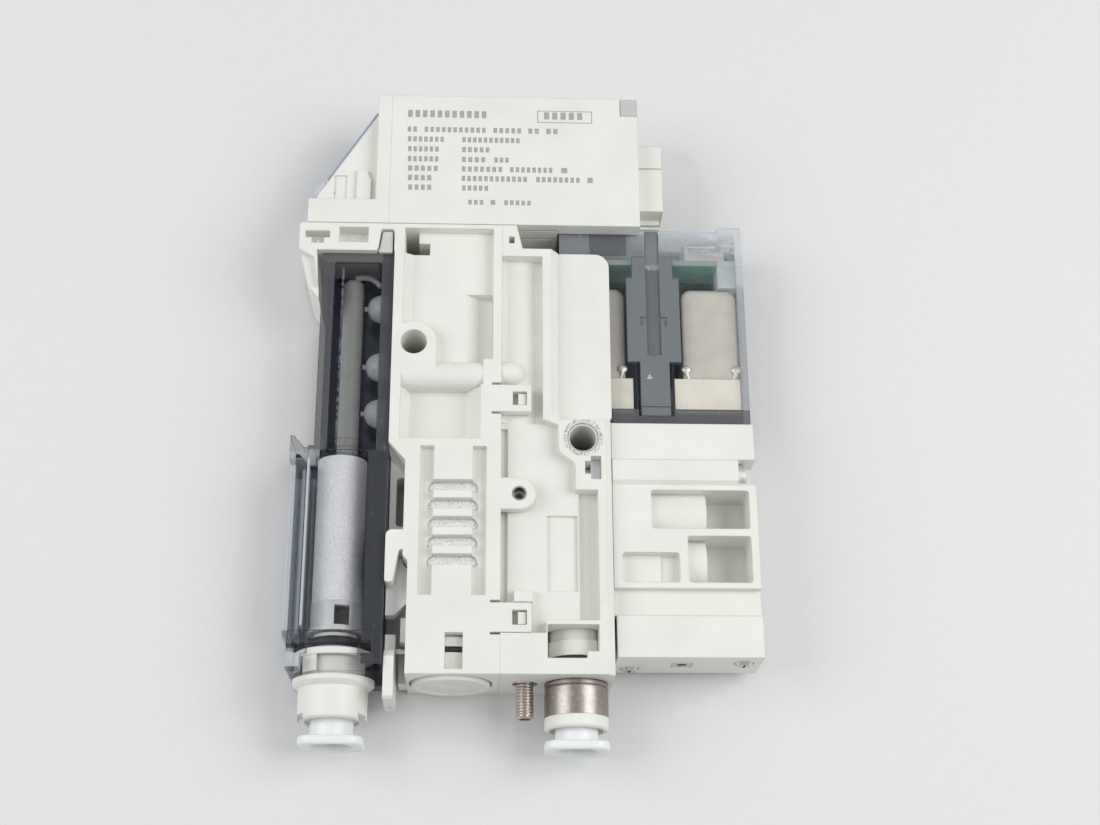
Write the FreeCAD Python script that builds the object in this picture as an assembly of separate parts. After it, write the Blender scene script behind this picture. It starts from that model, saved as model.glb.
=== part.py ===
import FreeCAD, Part
import math
import os

# Vacuum ejector unit: two white mouldings side by side, a clear filter case on the left,
# a pilot valve block with a clear cover on the right and a pressure switch across the top.
# The frame stands on the lower mounting hole at the back face: +X towards the valves,
# +Y away from the tube ports and +Z out of the front face. All lengths are millimetres.

# Body halves and the faces they share
BODY_DEPTH = 15.0
MID_Z = BODY_DEPTH / 2
SEAM_X = -13.5
LEFT_X = -32.0
RIGHT_X = 4.7
BODY_TOP = 39.2
BODY_BOTTOM = -39.7
CORNER_R = 0.5

# Clearances: a seated fit, a running fit and the air between neighbours
FIT = 0.1
RUN = 0.05
AIR = 0.3

# Mounting holes, one through each half
HOLE_R = 2.2
BOSS_R = 3.85
UPPER_HOLE_X = -28.3
UPPER_HOLE_Y = 16.9
HOLE_CHAMFER = 0.6

# Left half: outline of the narrow lower part and the hook beside it
SHOULDER_Y = -1.1
NECK_X = -29.2
LOWER_X = -28.4
HOOK_TOP = -16.2
HOOK_END = -24.9
HOOK_ARM = 1.3
HOOK_THICK = 4.0
SIDE_LEDGE_Z = MID_Z - 1.5
SIDE_SLOT_WIDTH = 1.7

# Left half: recesses in the front face
RIM = 1.7
POCKET_TOP = 38.4
POCKET_RIGHT = -15.0
POCKET_DEPTH = 1.9
STEP_DEPTH = 3.8
STEP_TOP = 26.6
STEP_LEFT = -19.6
STEP_FOOT = -17.2
RIB_Y = 11.6
RIB_R = 2.3
LOWER_POCKET_BOTTOM = -0.4
LOWER_POCKET_DEPTH = 4.0
WINDOW_DEPTH = 12.0

# Silencer chamber, its louvres and its cap
SILENCER_X = -21.3
CHAMBER_R = 6.0
CHAMBER_SIDE = 0.6
CHAMBER_TOP = -4.0
CAP_SOCKET_R = 6.15
CAP_SOCKET_TOP = -33.2
CAP_FACE_R = 6.3
CAP_STAND = 0.65
CAP_SEAL_Y = -35.45
CAP_SEAL_R = 0.42
CAP_DIMPLE_R = 2.0
CAP_DIMPLE_DEPTH = 1.1
CAP_FACE_DEPTH = 0.4
LOUVRE_WIDTH = 8.2
LOUVRE_HEIGHT = 1.8
LOUVRE_PITCH = 3.15
LOUVRE_TOP = -7.6
LOUVRE_COUNT = 5
PANEL_HALF = 3.2
GROOVE_WIDTH = 2.2
GROOVE_TOP = -1.8
GROOVE_BOTTOM = -27.0
GROOVE_DEPTH = 1.2

# Ejector pair in its own bore above the chamber
EJECTOR_R = 3.0
EJECTOR_TOP = 30.0
NOZZLE_BOTTOM = 18.0
DIFFUSER_TOP = 16.0
INLET_Y = 28.4
PASSAGE_R = 1.1

# Tabs of the left half that lie over the right half
TAB_THICK = 1.7
TAB_REACH = 5.0
UPPER_TAB_Y = 6.8
UPPER_TAB_HEIGHT = 4.8
LOWER_TAB_Y = -30.6
LOWER_TAB_HEIGHT = 4.8
TAB_WINDOW = 2.3
SLIT = 0.4
EYE_X = -10.5
EYE_Y = -9.9
EYE_R = 2.7
EYELET_R = 1.15
EYELET_BORE = 0.95

# Right half
FLOOR_DEPTH = 2.0
TRENCH_DEPTH = 2.8
RIM_LEFT = -6.6
RIM_RIGHT = -5.1
RIM_TOP = 34.7
TRENCH_LEFT = -0.7
TRENCH_RIGHT = 2.3
PLATE_TOP_Z = BODY_DEPTH - 1.9
PLATE_THICK = 1.2
PLATE_RIGHT = 5.0
PLATE_BOTTOM = 4.1
PLATE_CORNER_R = 2.5
FRAME_DEPTH = 0.5

# Push-in tube fittings: one cartridge in both ports, measured from the button's mouth
TUBE_R = 3.0
TUBE_BORE_R = 3.05
BUTTON_BORE_R = 3.2
GRIP_R = 3.3
FLANGE_R = 5.15
FLANGE_THICK = 1.5
FLANGE_HALF_DEPTH = 4.1
NECK_R = 3.45
BEAD_R = 3.9
BUTTON_LENGTH = 6.1
BUTTON_TRAVEL = 1.2
CARTRIDGE_R = 4.2
GUIDE_NEAR = 4.4
GUIDE_FAR = 5.4
RING_AT = 7.6
SEAL_NEAR = 8.5
SEAL_FAR = 9.7
TUBE_STOP = 12.5

# Supply port
SUPPLY_X = -1.15
SUPPLY_MOUTH = -50.7
SUPPLY_BORE_R = 5.0
SUPPLY_BORE_TOP = -31.2
SLEEVE_R = 5.15
SLEEVE_BOTTOM = -45.3
SLEEVE_TOP = -39.1
COLLAR_BOTTOM = -47.3
SLEEVE_LINE_Y = -40.6
SUPPLY_SEAL_Y = -36.45
SUPPLY_SEAL_R = 0.45

# Vacuum port and its bayonet
VACUUM_X = -39.95
VACUUM_MOUTH = -50.0
BARREL_R = 5.5
BARREL_BOTTOM = -46.0
BARREL_TAPER = 0.1
ADAPTER_FLANGE_R = 6.55
ADAPTER_FLANGE_TOP = -39.4
ADAPTER_FLANGE_THICK = 1.2
BAYONET_R = 6.25
BAYONET_TOP = -34.9
BAYONET_THICK = 1.3
SPIGOT_R = 3.5
SPIGOT_TOP = -32.1

# Filter case
CASE_Z0 = 2.1
CASE_Z1 = BODY_DEPTH - 1.2
CASE_LEFT = -44.3
CASE_TOP = 33.85
CASE_WALL = 1.0
FILTER_CHAMBER_R = 4.6
FILTER_CHAMBER_TOP = -2.0
LOWER_CASE_LEFT = -45.2
LOWER_CASE_TOP = -1.5
SOCKET_TOP = -32.7
SOCKET_LEFT = -47.0
CASE_BOTTOM = -39.3
FIN_LEFT = -48.3
ELEMENT_R = 4.1
ELEMENT_BORE = 2.6
ELEMENT_LENGTH = 24.7
TUBE_LINE_X = -39.3
PASSAGE_TUBE_R = 1.8
TUBE_TOP = 31.6
ARCH_R = 3.3
ARCH_Y = 28.5
ARCH_WIRE_R = 0.5
CHECK_R = 2.5
CHECK_PIN_R = 0.45
HOLDER_BORE_R = 2.7
CHECK_YS = (26.2, 15.2, 6.6)

# Lock lever
LEVER_PIN_Y = -34.5
LEVER_PIN_Z = MID_Z + 0.5
LEVER_PIN_R = 0.5
LEVER_WIDTH = 1.65
LEVER_END = -43.4
LEVER_TOP_Z = BODY_DEPTH - 0.8

# Bracket arm at the top left
ARM_LEFT = -48.4
ARM_BOTTOM = CASE_TOP + FIT
ARM_Z0 = 1.0
ARM_SLOT_WIDTH = 2.3

# Adjusting screw
NEEDLE_X = -9.4
NEEDLE_R = 1.425
NEEDLE_END = -45.4
NEEDLE_LENGTH = 10.4
BUSH_R = 2.0
BUSH_DEPTH = 4.2

# Pilot valve block
BLOCK_X0 = 4.85
BLOCK_X1 = 28.7
BLOCK_Z0 = 2.0
BLOCK_Z1 = BODY_DEPTH - 2.0
BLOCK_TOP = 3.3
BLOCK_BOTTOM = -29.5
END_BOTTOM = -36.5
RIDGE_TOP = -3.2
RIDGE_BOTTOM = -7.0
RIDGE_RISE = 0.9
BLOCK_GROOVE_TOP = -25.2
BLOCK_GROOVE_DEPTH = 1.1
SPOOL_R = 2.5
SPOOL_BORE_END = 19.0
SPOOL_LENGTH = 9.7
SPOOL_TRAVEL = 1.5
SPRING_WIRE_R = 0.22
SPRING_TURNS = 3
SUPPLY_SPOOL_Y = -11.8
RELEASE_SPOOL_Y = -20.3
BULGE_R = 4.7
POCKET_FLOOR_Z = MID_Z - 1.5
GASKET_INSET = 1.0

# Screws
SMALL_SCREW_X = 7.7
SMALL_SCREW_Z = 5.0
SMALL_SCREW_R = 0.8
SMALL_HEAD_R = 1.5
LARGE_SCREW_X = 25.9
LARGE_SCREW_Z = MID_Z + 1.5
LARGE_SCREW_R = 1.1
LARGE_HEAD_R = 1.55
SCREW_END = -25.8
SQUARE_X = 15.95
SQUARE_HALF = 1.7
SQUARE_THICK = 1.2
TIE_Y = -5.3
TIE_Z = BODY_DEPTH - 4.0
TIE_R = 1.0
TIE_HEAD_R = 1.85
TIE_HEAD_X = 25.8
NUT_ACROSS = 3.9
NUT_X = 1.3
NUT_THICK = 1.6

# Pilot cover and what it covers
COVER_X0 = -3.5
COVER_X1 = 28.6
COVER_Y0 = 3.6
COVER_Y1 = 40.3
COVER_Z0 = 2.2
COVER_Z1 = BODY_DEPTH - 3.5
COVER_WALL = 1.0
COVER_SKIN = 0.8
SPINE_X = 12.7
SPINE_HALF = 4.6
SPINE_NECK_HALF = 3.55
SPINE_BOTTOM = 15.2
SPINE_SHOULDER = 31.1
SPINE_TOP = 35.3
TONGUE_HALF = 2.5
TONGUE_BOTTOM = 5.3
STRAP_HALF = 1.2
COIL_WIDTH = 9.6
COIL_TOP = 29.7
COIL_BOTTOM = 12.7
COIL_R = 1.8
COIL_RIGHT_X1 = COVER_X1 - COVER_WALL - 0.2
COIL_LEFT_X1 = SPINE_X - SPINE_HALF - AIR
BOBBIN_TOP = 12.5
BOBBIN_WIDTH = 11.3
BOARD_Y = 34.1
BOARD_THICK = 1.0
BOARD_X1 = 24.2
SHELL_X0 = 18.6
SHELL_X1 = 25.6
SHELL_WALL = 0.7
SHELL_MOUTH_Z0 = 5.2
SHELL_MOUTH_Z1 = 9.4
LENS_Y0 = 29.9

# Pressure switch
SWITCH_BOTTOM = 39.3
SWITCH_TOP = 65.0
SWITCH_RIGHT = 10.5
SWITCH_SEAM = -33.2
SWITCH_Z0 = 0.3
SWITCH_WALL = 1.3
SWITCH_FOOT = 2.6
HOUSING_X = -35.6
SHELF_LEFT = -47.2
SHELF_TOP = 43.9
SLANT_X0 = -45.9
SLANT_Y0 = 45.5
SLANT_X1 = -35.6
SLANT_Y1 = 62.3
SLANT_Z0 = 1.2
SLANT_Z1 = BODY_DEPTH - 2.0
BUTTON_AT = 2.0
BUTTON_PITCH = 3.9
BUTTON_R = 1.7
BUTTON_STROKE = 0.3
BUTTON_STAND = 0.6
BUTTON_RISE = 1.2
INSERT_X0 = 7.4
INSERT_Y0 = 61.5
INSERT_SEAT = 0.5
PLUG_Y0 = 43.8
PLUG_Y1 = 57.0
PLUG_X1 = 14.9
PLUG_Z0 = 3.0
PLUG_Z1 = BODY_DEPTH - 2.7
SWITCH_BOARD_Z = 5.0
SWITCH_BOARD_THICK = 1.2
SENSOR_X = -24.0
SENSOR_Y = 46.0
SENSOR_R = 3.2
PIN_COUNT = 5
PIN_PITCH = 2.0

PAST = 1.0

# End cover screws: place across, place in depth, shank and head
END_SCREWS = (
    (SMALL_SCREW_X, SMALL_SCREW_Z, SMALL_SCREW_R, SMALL_HEAD_R),
    (LARGE_SCREW_X, LARGE_SCREW_Z, LARGE_SCREW_R, LARGE_HEAD_R),
)


def vec(x, y, z):
    return FreeCAD.Vector(x, y, z)


def box(x0, x1, y0, y1, z0, z1):
    return Part.makeBox(x1 - x0, y1 - y0, z1 - z0, vec(x0, y0, z0))


def rod_x(radius, x0, x1, y, z):
    return Part.makeCylinder(radius, x1 - x0, vec(x0, y, z), vec(1, 0, 0))


def rod_y(radius, y0, y1, x, z):
    return Part.makeCylinder(radius, y1 - y0, vec(x, y0, z), vec(0, 1, 0))


def rod_z(radius, z0, z1, x, y):
    return Part.makeCylinder(radius, z1 - z0, vec(x, y, z0), vec(0, 0, 1))


def outline(points):
    """Closed wire through plan points; a third number rounds that corner."""
    corners = [(FreeCAD.Vector(p[0], p[1], 0), p[2] if len(p) > 2 else 0) for p in points]
    count = len(corners)
    edges = []
    last_end = None
    first_start = None
    for i in range(count):
        here, radius = corners[i]
        before = (corners[i - 1][0] - here).normalize()
        after = (corners[(i + 1) % count][0] - here).normalize()
        if radius:
            half = before.getAngle(after) / 2
            reach = radius / math.tan(half)
            start = here + before * reach
            end = here + after * reach
            middle_way = (before + after).normalize()
            middle = here + middle_way * (radius / math.sin(half) - radius)
        else:
            start = here
            end = here
        if last_end is not None and last_end.distanceToPoint(start) > 1e-6:
            edges.append(Part.LineSegment(last_end, start).toShape())
        if radius:
            edges.append(Part.Arc(start, middle, end).toShape())
        if first_start is None:
            first_start = start
        last_end = end
    if last_end.distanceToPoint(first_start) > 1e-6:
        edges.append(Part.LineSegment(last_end, first_start).toShape())
    return Part.Wire(edges)


def slab(points, z0, z1):
    """Plan outline raised from z0 to z1."""
    face = Part.Face(outline(points))
    face.translate(vec(0, 0, z0))
    return face.extrude(vec(0, 0, z1 - z0))


def rounded_box(x0, x1, y0, y1, z0, z1, radius):
    points = [(x0, y0, radius), (x1, y0, radius), (x1, y1, radius), (x0, y1, radius)]
    return slab(points, z0, z1)


def prism_y(points, y0, y1):
    """Section given as (x, z) points, run along Y."""
    wire = Part.makePolygon([vec(x, y0, z) for x, z in points + points[:1]])
    return Part.Face(wire).extrude(vec(0, y1 - y0, 0))


def prism_x(points, x0, x1):
    """Section given as (y, z) points, run along X."""
    wire = Part.makePolygon([vec(x0, y, z) for y, z in points + points[:1]])
    return Part.Face(wire).extrude(vec(x1 - x0, 0, 0))


def turned_y(points, x, z):
    """Ring or plug turned about a line along Y: points are (radius, y)."""
    wire = Part.makePolygon([vec(x + r, y, z) for r, y in points + points[:1]])
    return Part.Face(wire).revolve(vec(x, 0, z), vec(0, 1, 0), 360)


def turned_x(points, y, z):
    """Ring or plug turned about a line along X: points are (x, radius)."""
    wire = Part.makePolygon([vec(px, y + r, z) for px, r in points + points[:1]])
    return Part.Face(wire).revolve(vec(0, y, z), vec(1, 0, 0), 360)


def ring_y(outer, inner, y0, y1, x, z=MID_Z):
    return turned_y([(inner, y0), (outer, y0), (outer, y1), (inner, y1)], x, z)


def o_ring_y(centre_r, wire_r, y, x):
    return Part.makeTorus(centre_r, wire_r, vec(x, y, MID_Z), vec(0, 1, 0))


def joined(first, *rest):
    return first.fuse(list(rest)).removeSplitter()


def without(shape, *tools):
    return shape.cut(list(tools)).removeSplitter()


# Left moulding
def left_blank():
    main = slab(
        [
            (SEAM_X, BODY_BOTTOM),
            (SEAM_X, BODY_TOP),
            (LEFT_X, BODY_TOP),
            (LEFT_X, SHOULDER_Y),
            (NECK_X, SHOULDER_Y - 3.2),
            (NECK_X, HOOK_TOP - 4.3),
            (LOWER_X, HOOK_TOP - 5.1),
            (LOWER_X, BODY_BOTTOM),
        ],
        0,
        BODY_DEPTH,
    )
    hook = slab(
        [
            (NECK_X + PAST, HOOK_TOP),
            (LEFT_X, HOOK_TOP, 1.0),
            (LEFT_X, HOOK_END, 0.5),
            (LEFT_X + HOOK_ARM, HOOK_END, 0.5),
            (LEFT_X + HOOK_ARM + 0.9, HOOK_TOP - 3.3, 0.5),
            (NECK_X + PAST, HOOK_TOP - 3.3),
        ],
        BODY_DEPTH - HOOK_THICK,
        BODY_DEPTH,
    )
    side_ledge = slab(
        [
            (LEFT_X, SHOULDER_Y),
            (LEFT_X, HOOK_TOP + 2.8),
            (LEFT_X + 1.1, HOOK_TOP + 1.2),
            (NECK_X + PAST, HOOK_TOP + 1.2),
            (NECK_X + PAST, SHOULDER_Y),
        ],
        0,
        SIDE_LEDGE_Z,
    )
    side_slot = rounded_box(
        NECK_X - SIDE_SLOT_WIDTH,
        NECK_X,
        HOOK_TOP + 3.3,
        SHOULDER_Y - 3.2,
        -PAST,
        SIDE_LEDGE_Z + PAST,
        0.7,
    )
    upper_step = box(LOWER_X - 1.0, LOWER_X, -33.8, -29.8, 0, 11.0)
    lower_step = box(LOWER_X - 1.4, LOWER_X, -39.3, -33.8, 1.0, 5.5)
    body = joined(main, hook, side_ledge, upper_step, lower_step, bracket_arm())
    return without(body, side_slot)


def bracket_arm():
    arm = slab(
        [
            (LEFT_X, ARM_BOTTOM),
            (LEFT_X, BODY_TOP),
            (ARM_LEFT, BODY_TOP, 0.3),
            (ARM_LEFT, ARM_BOTTOM + 0.6),
            (ARM_LEFT + 1.9, 27.4),
            (CASE_LEFT - 0.4, 25.3),
            (CASE_LEFT - 1.0, ARM_BOTTOM),
        ],
        ARM_Z0,
        BODY_DEPTH,
    )
    slot = slab(
        [
            (LEFT_X - 0.1, ARM_BOTTOM - PAST),
            (LEFT_X - 0.1, BODY_TOP - 1.1, 0.5),
            (LEFT_X - 0.1 - ARM_SLOT_WIDTH, BODY_TOP - 1.1, 0.5),
            (LEFT_X - 0.5 - ARM_SLOT_WIDTH, ARM_BOTTOM + 0.8),
            (LEFT_X - 1.2 - ARM_SLOT_WIDTH, ARM_BOTTOM - PAST),
        ],
        ARM_Z0 - PAST,
        BODY_DEPTH + PAST,
    )
    pocket = box(-41.6, -36.6, 35.5, 38.4, BODY_DEPTH - 2.6, BODY_DEPTH + PAST)
    bar = box(-47.4, -43.2, 36.3, 37.6, BODY_DEPTH - 2.2, BODY_DEPTH + PAST)
    stem = box(-46.3, -44.2, 35.3, 36.4, BODY_DEPTH - 2.2, BODY_DEPTH + PAST)
    stem_rib = box(-45.4, -45.1, 35.3, 36.3, BODY_DEPTH - 2.2, BODY_DEPTH - 0.8)
    tip_bevel = slab(
        [
            (ARM_LEFT - PAST, ARM_BOTTOM + 0.6),
            (CASE_LEFT - 1.4, ARM_BOTTOM - 1.4),
            (CASE_LEFT, 24.0),
            (ARM_LEFT - PAST, 24.0),
        ],
        BODY_DEPTH - 1.2,
        BODY_DEPTH + PAST,
    )
    return joined(without(arm, slot, pocket, bar, stem, tip_bevel), stem_rib)


def left_recesses():
    front = BODY_DEPTH + PAST
    pocket_z = BODY_DEPTH - POCKET_DEPTH
    left = LEFT_X + RIM
    rib_top = RIB_Y + RIB_R
    rib_bottom = RIB_Y - RIB_R
    upper = prism_y(
        [
            (left, front),
            (left, BODY_DEPTH - 0.9),
            (left + 1.5, pocket_z),
            (POCKET_RIGHT, pocket_z),
            (POCKET_RIGHT, front),
        ],
        rib_top,
        POCKET_TOP,
    )
    boss = joined(
        rod_z(BOSS_R, 0, BODY_DEPTH, UPPER_HOLE_X, UPPER_HOLE_Y),
        box(LEFT_X, UPPER_HOLE_X + BOSS_R, RIB_Y, UPPER_HOLE_Y, 0, BODY_DEPTH),
    )
    step = prism_y(
        [
            (STEP_LEFT, pocket_z),
            (STEP_FOOT, BODY_DEPTH - STEP_DEPTH),
            (POCKET_RIGHT - FIT, BODY_DEPTH - STEP_DEPTH),
            (POCKET_RIGHT - FIT, front),
            (STEP_LEFT, front),
        ],
        rib_top,
        STEP_TOP,
    )
    band_z = BODY_DEPTH - RIB_R
    band = box(left, -16.6, rib_bottom, rib_top, band_z, front)
    rib = rod_x(RIB_R, left, -16.6, RIB_Y, band_z)
    lower_z = BODY_DEPTH - LOWER_POCKET_DEPTH
    lower = prism_y(
        [
            (left, front),
            (left, BODY_DEPTH - 1.2),
            (left + 1.4, lower_z),
            (-19.5, lower_z),
            (-17.0, BODY_DEPTH - 0.8),
            (-17.0, front),
        ],
        LOWER_POCKET_BOTTOM,
        rib_bottom,
    )
    window = joined(
        box(left + 0.1, left + 2.4, 34.1, POCKET_TOP, BODY_DEPTH - WINDOW_DEPTH, front),
        box(left + 2.3, left + 4.3, 34.1, 36.3, BODY_DEPTH - WINDOW_DEPTH, front),
    )
    cut = joined(without(joined(upper, step), boss), without(band, boss), lower, window)
    return cut.cut(rib)


def louvres():
    front = BODY_DEPTH + PAST
    tools = []
    for side in (-1, 1):
        inner = SILENCER_X + side * PANEL_HALF
        outer = inner + side * GROOVE_WIDTH
        x0, x1 = min(inner, outer), max(inner, outer)
        tools.append(box(x0, x1, GROOVE_BOTTOM, GROOVE_TOP, BODY_DEPTH - GROOVE_DEPTH, front))
    for i in range(LOUVRE_COUNT):
        top = LOUVRE_TOP - i * LOUVRE_PITCH
        x0 = SILENCER_X - LOUVRE_WIDTH / 2
        x1 = SILENCER_X + LOUVRE_WIDTH / 2
        tools.append(
            slab(
                [
                    (x0, top - LOUVRE_HEIGHT, 0.3),
                    (x1, top - LOUVRE_HEIGHT, 0.3),
                    (x1, top, 1.2),
                    (x0, top, 1.2),
                ],
                MID_Z + 2.0,
                front,
            )
        )
    return tools


def ejector_body():
    body = left_blank()
    chamber = absorber_room(0, CAP_SOCKET_TOP - PAST)
    socket = rod_y(CAP_SOCKET_R, BODY_BOTTOM - PAST, CAP_SOCKET_TOP, SILENCER_X, MID_Z)
    face_seat = rod_y(CAP_FACE_R + 0.3, BODY_BOTTOM - PAST, BODY_BOTTOM + 1.2, SILENCER_X, MID_Z)
    bore = rod_y(EJECTOR_R, CHAMBER_TOP - PAST, EJECTOR_TOP, SILENCER_X, MID_Z)
    inlet = rod_x(PASSAGE_R, SILENCER_X, SEAM_X + PAST, INLET_Y, MID_Z)
    hole = rod_z(HOLE_R, -PAST, BODY_DEPTH + PAST, UPPER_HOLE_X, UPPER_HOLE_Y)
    cap_slot = box(-22.2, -19.4, -38.9, -33.1, MID_Z + 3.0, BODY_DEPTH + PAST)
    pin_hole = rod_x(LEVER_PIN_R, LOWER_X - PAST, LOWER_X + 0.7, LEVER_PIN_Y, LEVER_PIN_Z)
    tools = [chamber, socket, face_seat, bore, inlet, hole, cap_slot, pin_hole]
    tools.append(left_recesses())
    tools.extend(louvres())
    for y in CHECK_YS:
        tools.append(rod_x(0.9 + FIT, LEFT_X - PAST, LEFT_X + 0.9, y, MID_Z))
    tools.append(rod_x(0.8, LEFT_X - PAST, SILENCER_X, CHECK_YS[0], MID_Z))
    tools.append(rod_x(0.8, LEFT_X - PAST, SILENCER_X, CHECK_YS[2], MID_Z))
    body = without(body, *tools)
    return joined(body, upper_tab(), lower_tab(), eye_tab()).cut(tab_slits())


def latch_tab(y, height, window_x):
    z0 = BODY_DEPTH - TAB_THICK
    tab = slab(
        [
            (SEAM_X - 0.5, y - height / 2),
            (SEAM_X + TAB_REACH, y - height / 2, 0.4),
            (SEAM_X + TAB_REACH, y + height / 2, 0.4),
            (SEAM_X - 0.5, y + height / 2),
        ],
        z0,
        BODY_DEPTH,
    )
    window = box(window_x, window_x + TAB_WINDOW, y - 1.2, y + 1.2, z0 - PAST, BODY_DEPTH + PAST)
    return tab.cut(window)


def upper_tab():
    return latch_tab(UPPER_TAB_Y, UPPER_TAB_HEIGHT, SEAM_X + 1.9)


def lower_tab():
    return latch_tab(LOWER_TAB_Y, LOWER_TAB_HEIGHT, SEAM_X + 1.9)


def eye_tab():
    z0 = BODY_DEPTH - TAB_THICK
    tab = joined(
        box(SEAM_X - 0.5, EYE_X, EYE_Y - EYE_R, EYE_Y + EYE_R, z0, BODY_DEPTH),
        rod_z(EYE_R, z0, BODY_DEPTH, EYE_X, EYE_Y),
    )
    return tab.cut(rod_z(EYELET_R + RUN, 0, BODY_DEPTH + PAST, EYE_X, EYE_Y))


def tab_slits():
    slits = []
    for y, height in ((UPPER_TAB_Y, UPPER_TAB_HEIGHT), (LOWER_TAB_Y, LOWER_TAB_HEIGHT)):
        for edge in (y - height / 2 - SLIT, y + height / 2):
            slits.append(box(SEAM_X - 1.6, SEAM_X, edge, edge + SLIT, MID_Z + 3.5, BODY_DEPTH + PAST))
    return slits


def seam_eyelet():
    top = BODY_DEPTH + 0.05
    bush = rod_z(EYELET_R, BODY_DEPTH - TAB_THICK, top, EYE_X, EYE_Y)
    return bush.cut(rod_z(EYELET_BORE, 0, top + PAST, EYE_X, EYE_Y))


# Ejector pair, silencer and cap
def nozzle():
    profile = [
        (2.0, EJECTOR_TOP - RUN),
        (EJECTOR_R - RUN, EJECTOR_TOP - RUN),
        (EJECTOR_R - RUN, NOZZLE_BOTTOM + 2.5),
        (1.6, NOZZLE_BOTTOM),
        (0.6, NOZZLE_BOTTOM),
        (0.5, NOZZLE_BOTTOM + 3.0),
        (2.0, NOZZLE_BOTTOM + 6.5),
    ]
    tube = turned_y(profile, SILENCER_X, MID_Z)
    side_port = rod_x(PASSAGE_R, SILENCER_X, SEAM_X, INLET_Y, MID_Z)
    return tube.cut(side_port)


def diffuser():
    profile = [
        (2.2, DIFFUSER_TOP),
        (EJECTOR_R - RUN, DIFFUSER_TOP),
        (EJECTOR_R - RUN, CHAMBER_TOP),
        (1.9, CHAMBER_TOP),
        (0.9, DIFFUSER_TOP - 8.0),
        (0.9, DIFFUSER_TOP - 3.0),
    ]
    return turned_y(profile, SILENCER_X, MID_Z)


def absorber_room(clearance, start):
    """Round room with a flat front, so that the absorber lies close behind every louvre."""
    reach = CHAMBER_R - clearance
    half = LOUVRE_WIDTH / 2 + CHAMBER_SIDE - clearance
    room = rod_y(reach, start, CHAMBER_TOP - clearance, SILENCER_X, MID_Z)
    flat = box(
        SILENCER_X - half,
        SILENCER_X + half,
        GROOVE_BOTTOM,
        CHAMBER_TOP - clearance,
        MID_Z,
        MID_Z + reach,
    )
    return joined(room, flat)


def silencer_element():
    return absorber_room(0.2, CAP_SOCKET_TOP)


def silencer_cap():
    face = BODY_BOTTOM - CAP_STAND
    barrel_r = CAP_SOCKET_R - 0.15
    profile = [
        (0, face + CAP_DIMPLE_DEPTH),
        (CAP_DIMPLE_R - 1.0, face + CAP_DIMPLE_DEPTH - 0.1),
        (CAP_DIMPLE_R, face + CAP_FACE_DEPTH),
        (CAP_FACE_R - 0.9, face + CAP_FACE_DEPTH),
        (CAP_FACE_R - 0.7, face),
        (CAP_FACE_R - 0.2, face),
        (CAP_FACE_R, face + 0.2),
        (CAP_FACE_R, BODY_BOTTOM + 1.0),
        (barrel_r, BODY_BOTTOM + 1.0),
        (barrel_r, CAP_SEAL_Y - CAP_SEAL_R - RUN),
        (barrel_r - 2 * CAP_SEAL_R + RUN, CAP_SEAL_Y - CAP_SEAL_R - RUN),
        (barrel_r - 2 * CAP_SEAL_R + RUN, CAP_SEAL_Y + CAP_SEAL_R + RUN),
        (barrel_r, CAP_SEAL_Y + CAP_SEAL_R + RUN),
        (barrel_r, CAP_SOCKET_TOP - 0.2),
        (0, CAP_SOCKET_TOP - 0.2),
    ]
    return turned_y(profile, SILENCER_X, MID_Z)


def cap_seal():
    return o_ring_y(CAP_SOCKET_R - RUN - CAP_SEAL_R, CAP_SEAL_R, CAP_SEAL_Y, SILENCER_X)


# Right moulding
def right_blank():
    main = box(SEAM_X, RIGHT_X, BODY_BOTTOM, PLATE_BOTTOM - 1.0, 0, BODY_DEPTH)
    upright = box(SEAM_X, COVER_X0 - 0.4, PLATE_BOTTOM - 1.5, RIM_TOP, 0, BODY_DEPTH)
    tab = slab(
        [
            (SEAM_X, RIM_TOP - PAST),
            (-10.0, RIM_TOP - PAST),
            (-10.0, RIM_TOP),
            (-11.0, BODY_TOP),
            (SEAM_X, BODY_TOP),
        ],
        0,
        BODY_DEPTH,
    )
    plate = slab(
        [
            (RIM_RIGHT, PLATE_BOTTOM - 1.2),
            (RIGHT_X, PLATE_BOTTOM - 1.2),
            (RIGHT_X, PLATE_BOTTOM),
            (PLATE_RIGHT, PLATE_BOTTOM),
            (PLATE_RIGHT, RIM_TOP, PLATE_CORNER_R),
            (RIM_RIGHT, RIM_TOP),
        ],
        PLATE_TOP_Z - PLATE_THICK,
        PLATE_TOP_Z,
    )
    return joined(main, upright, tab, plate)


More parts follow.
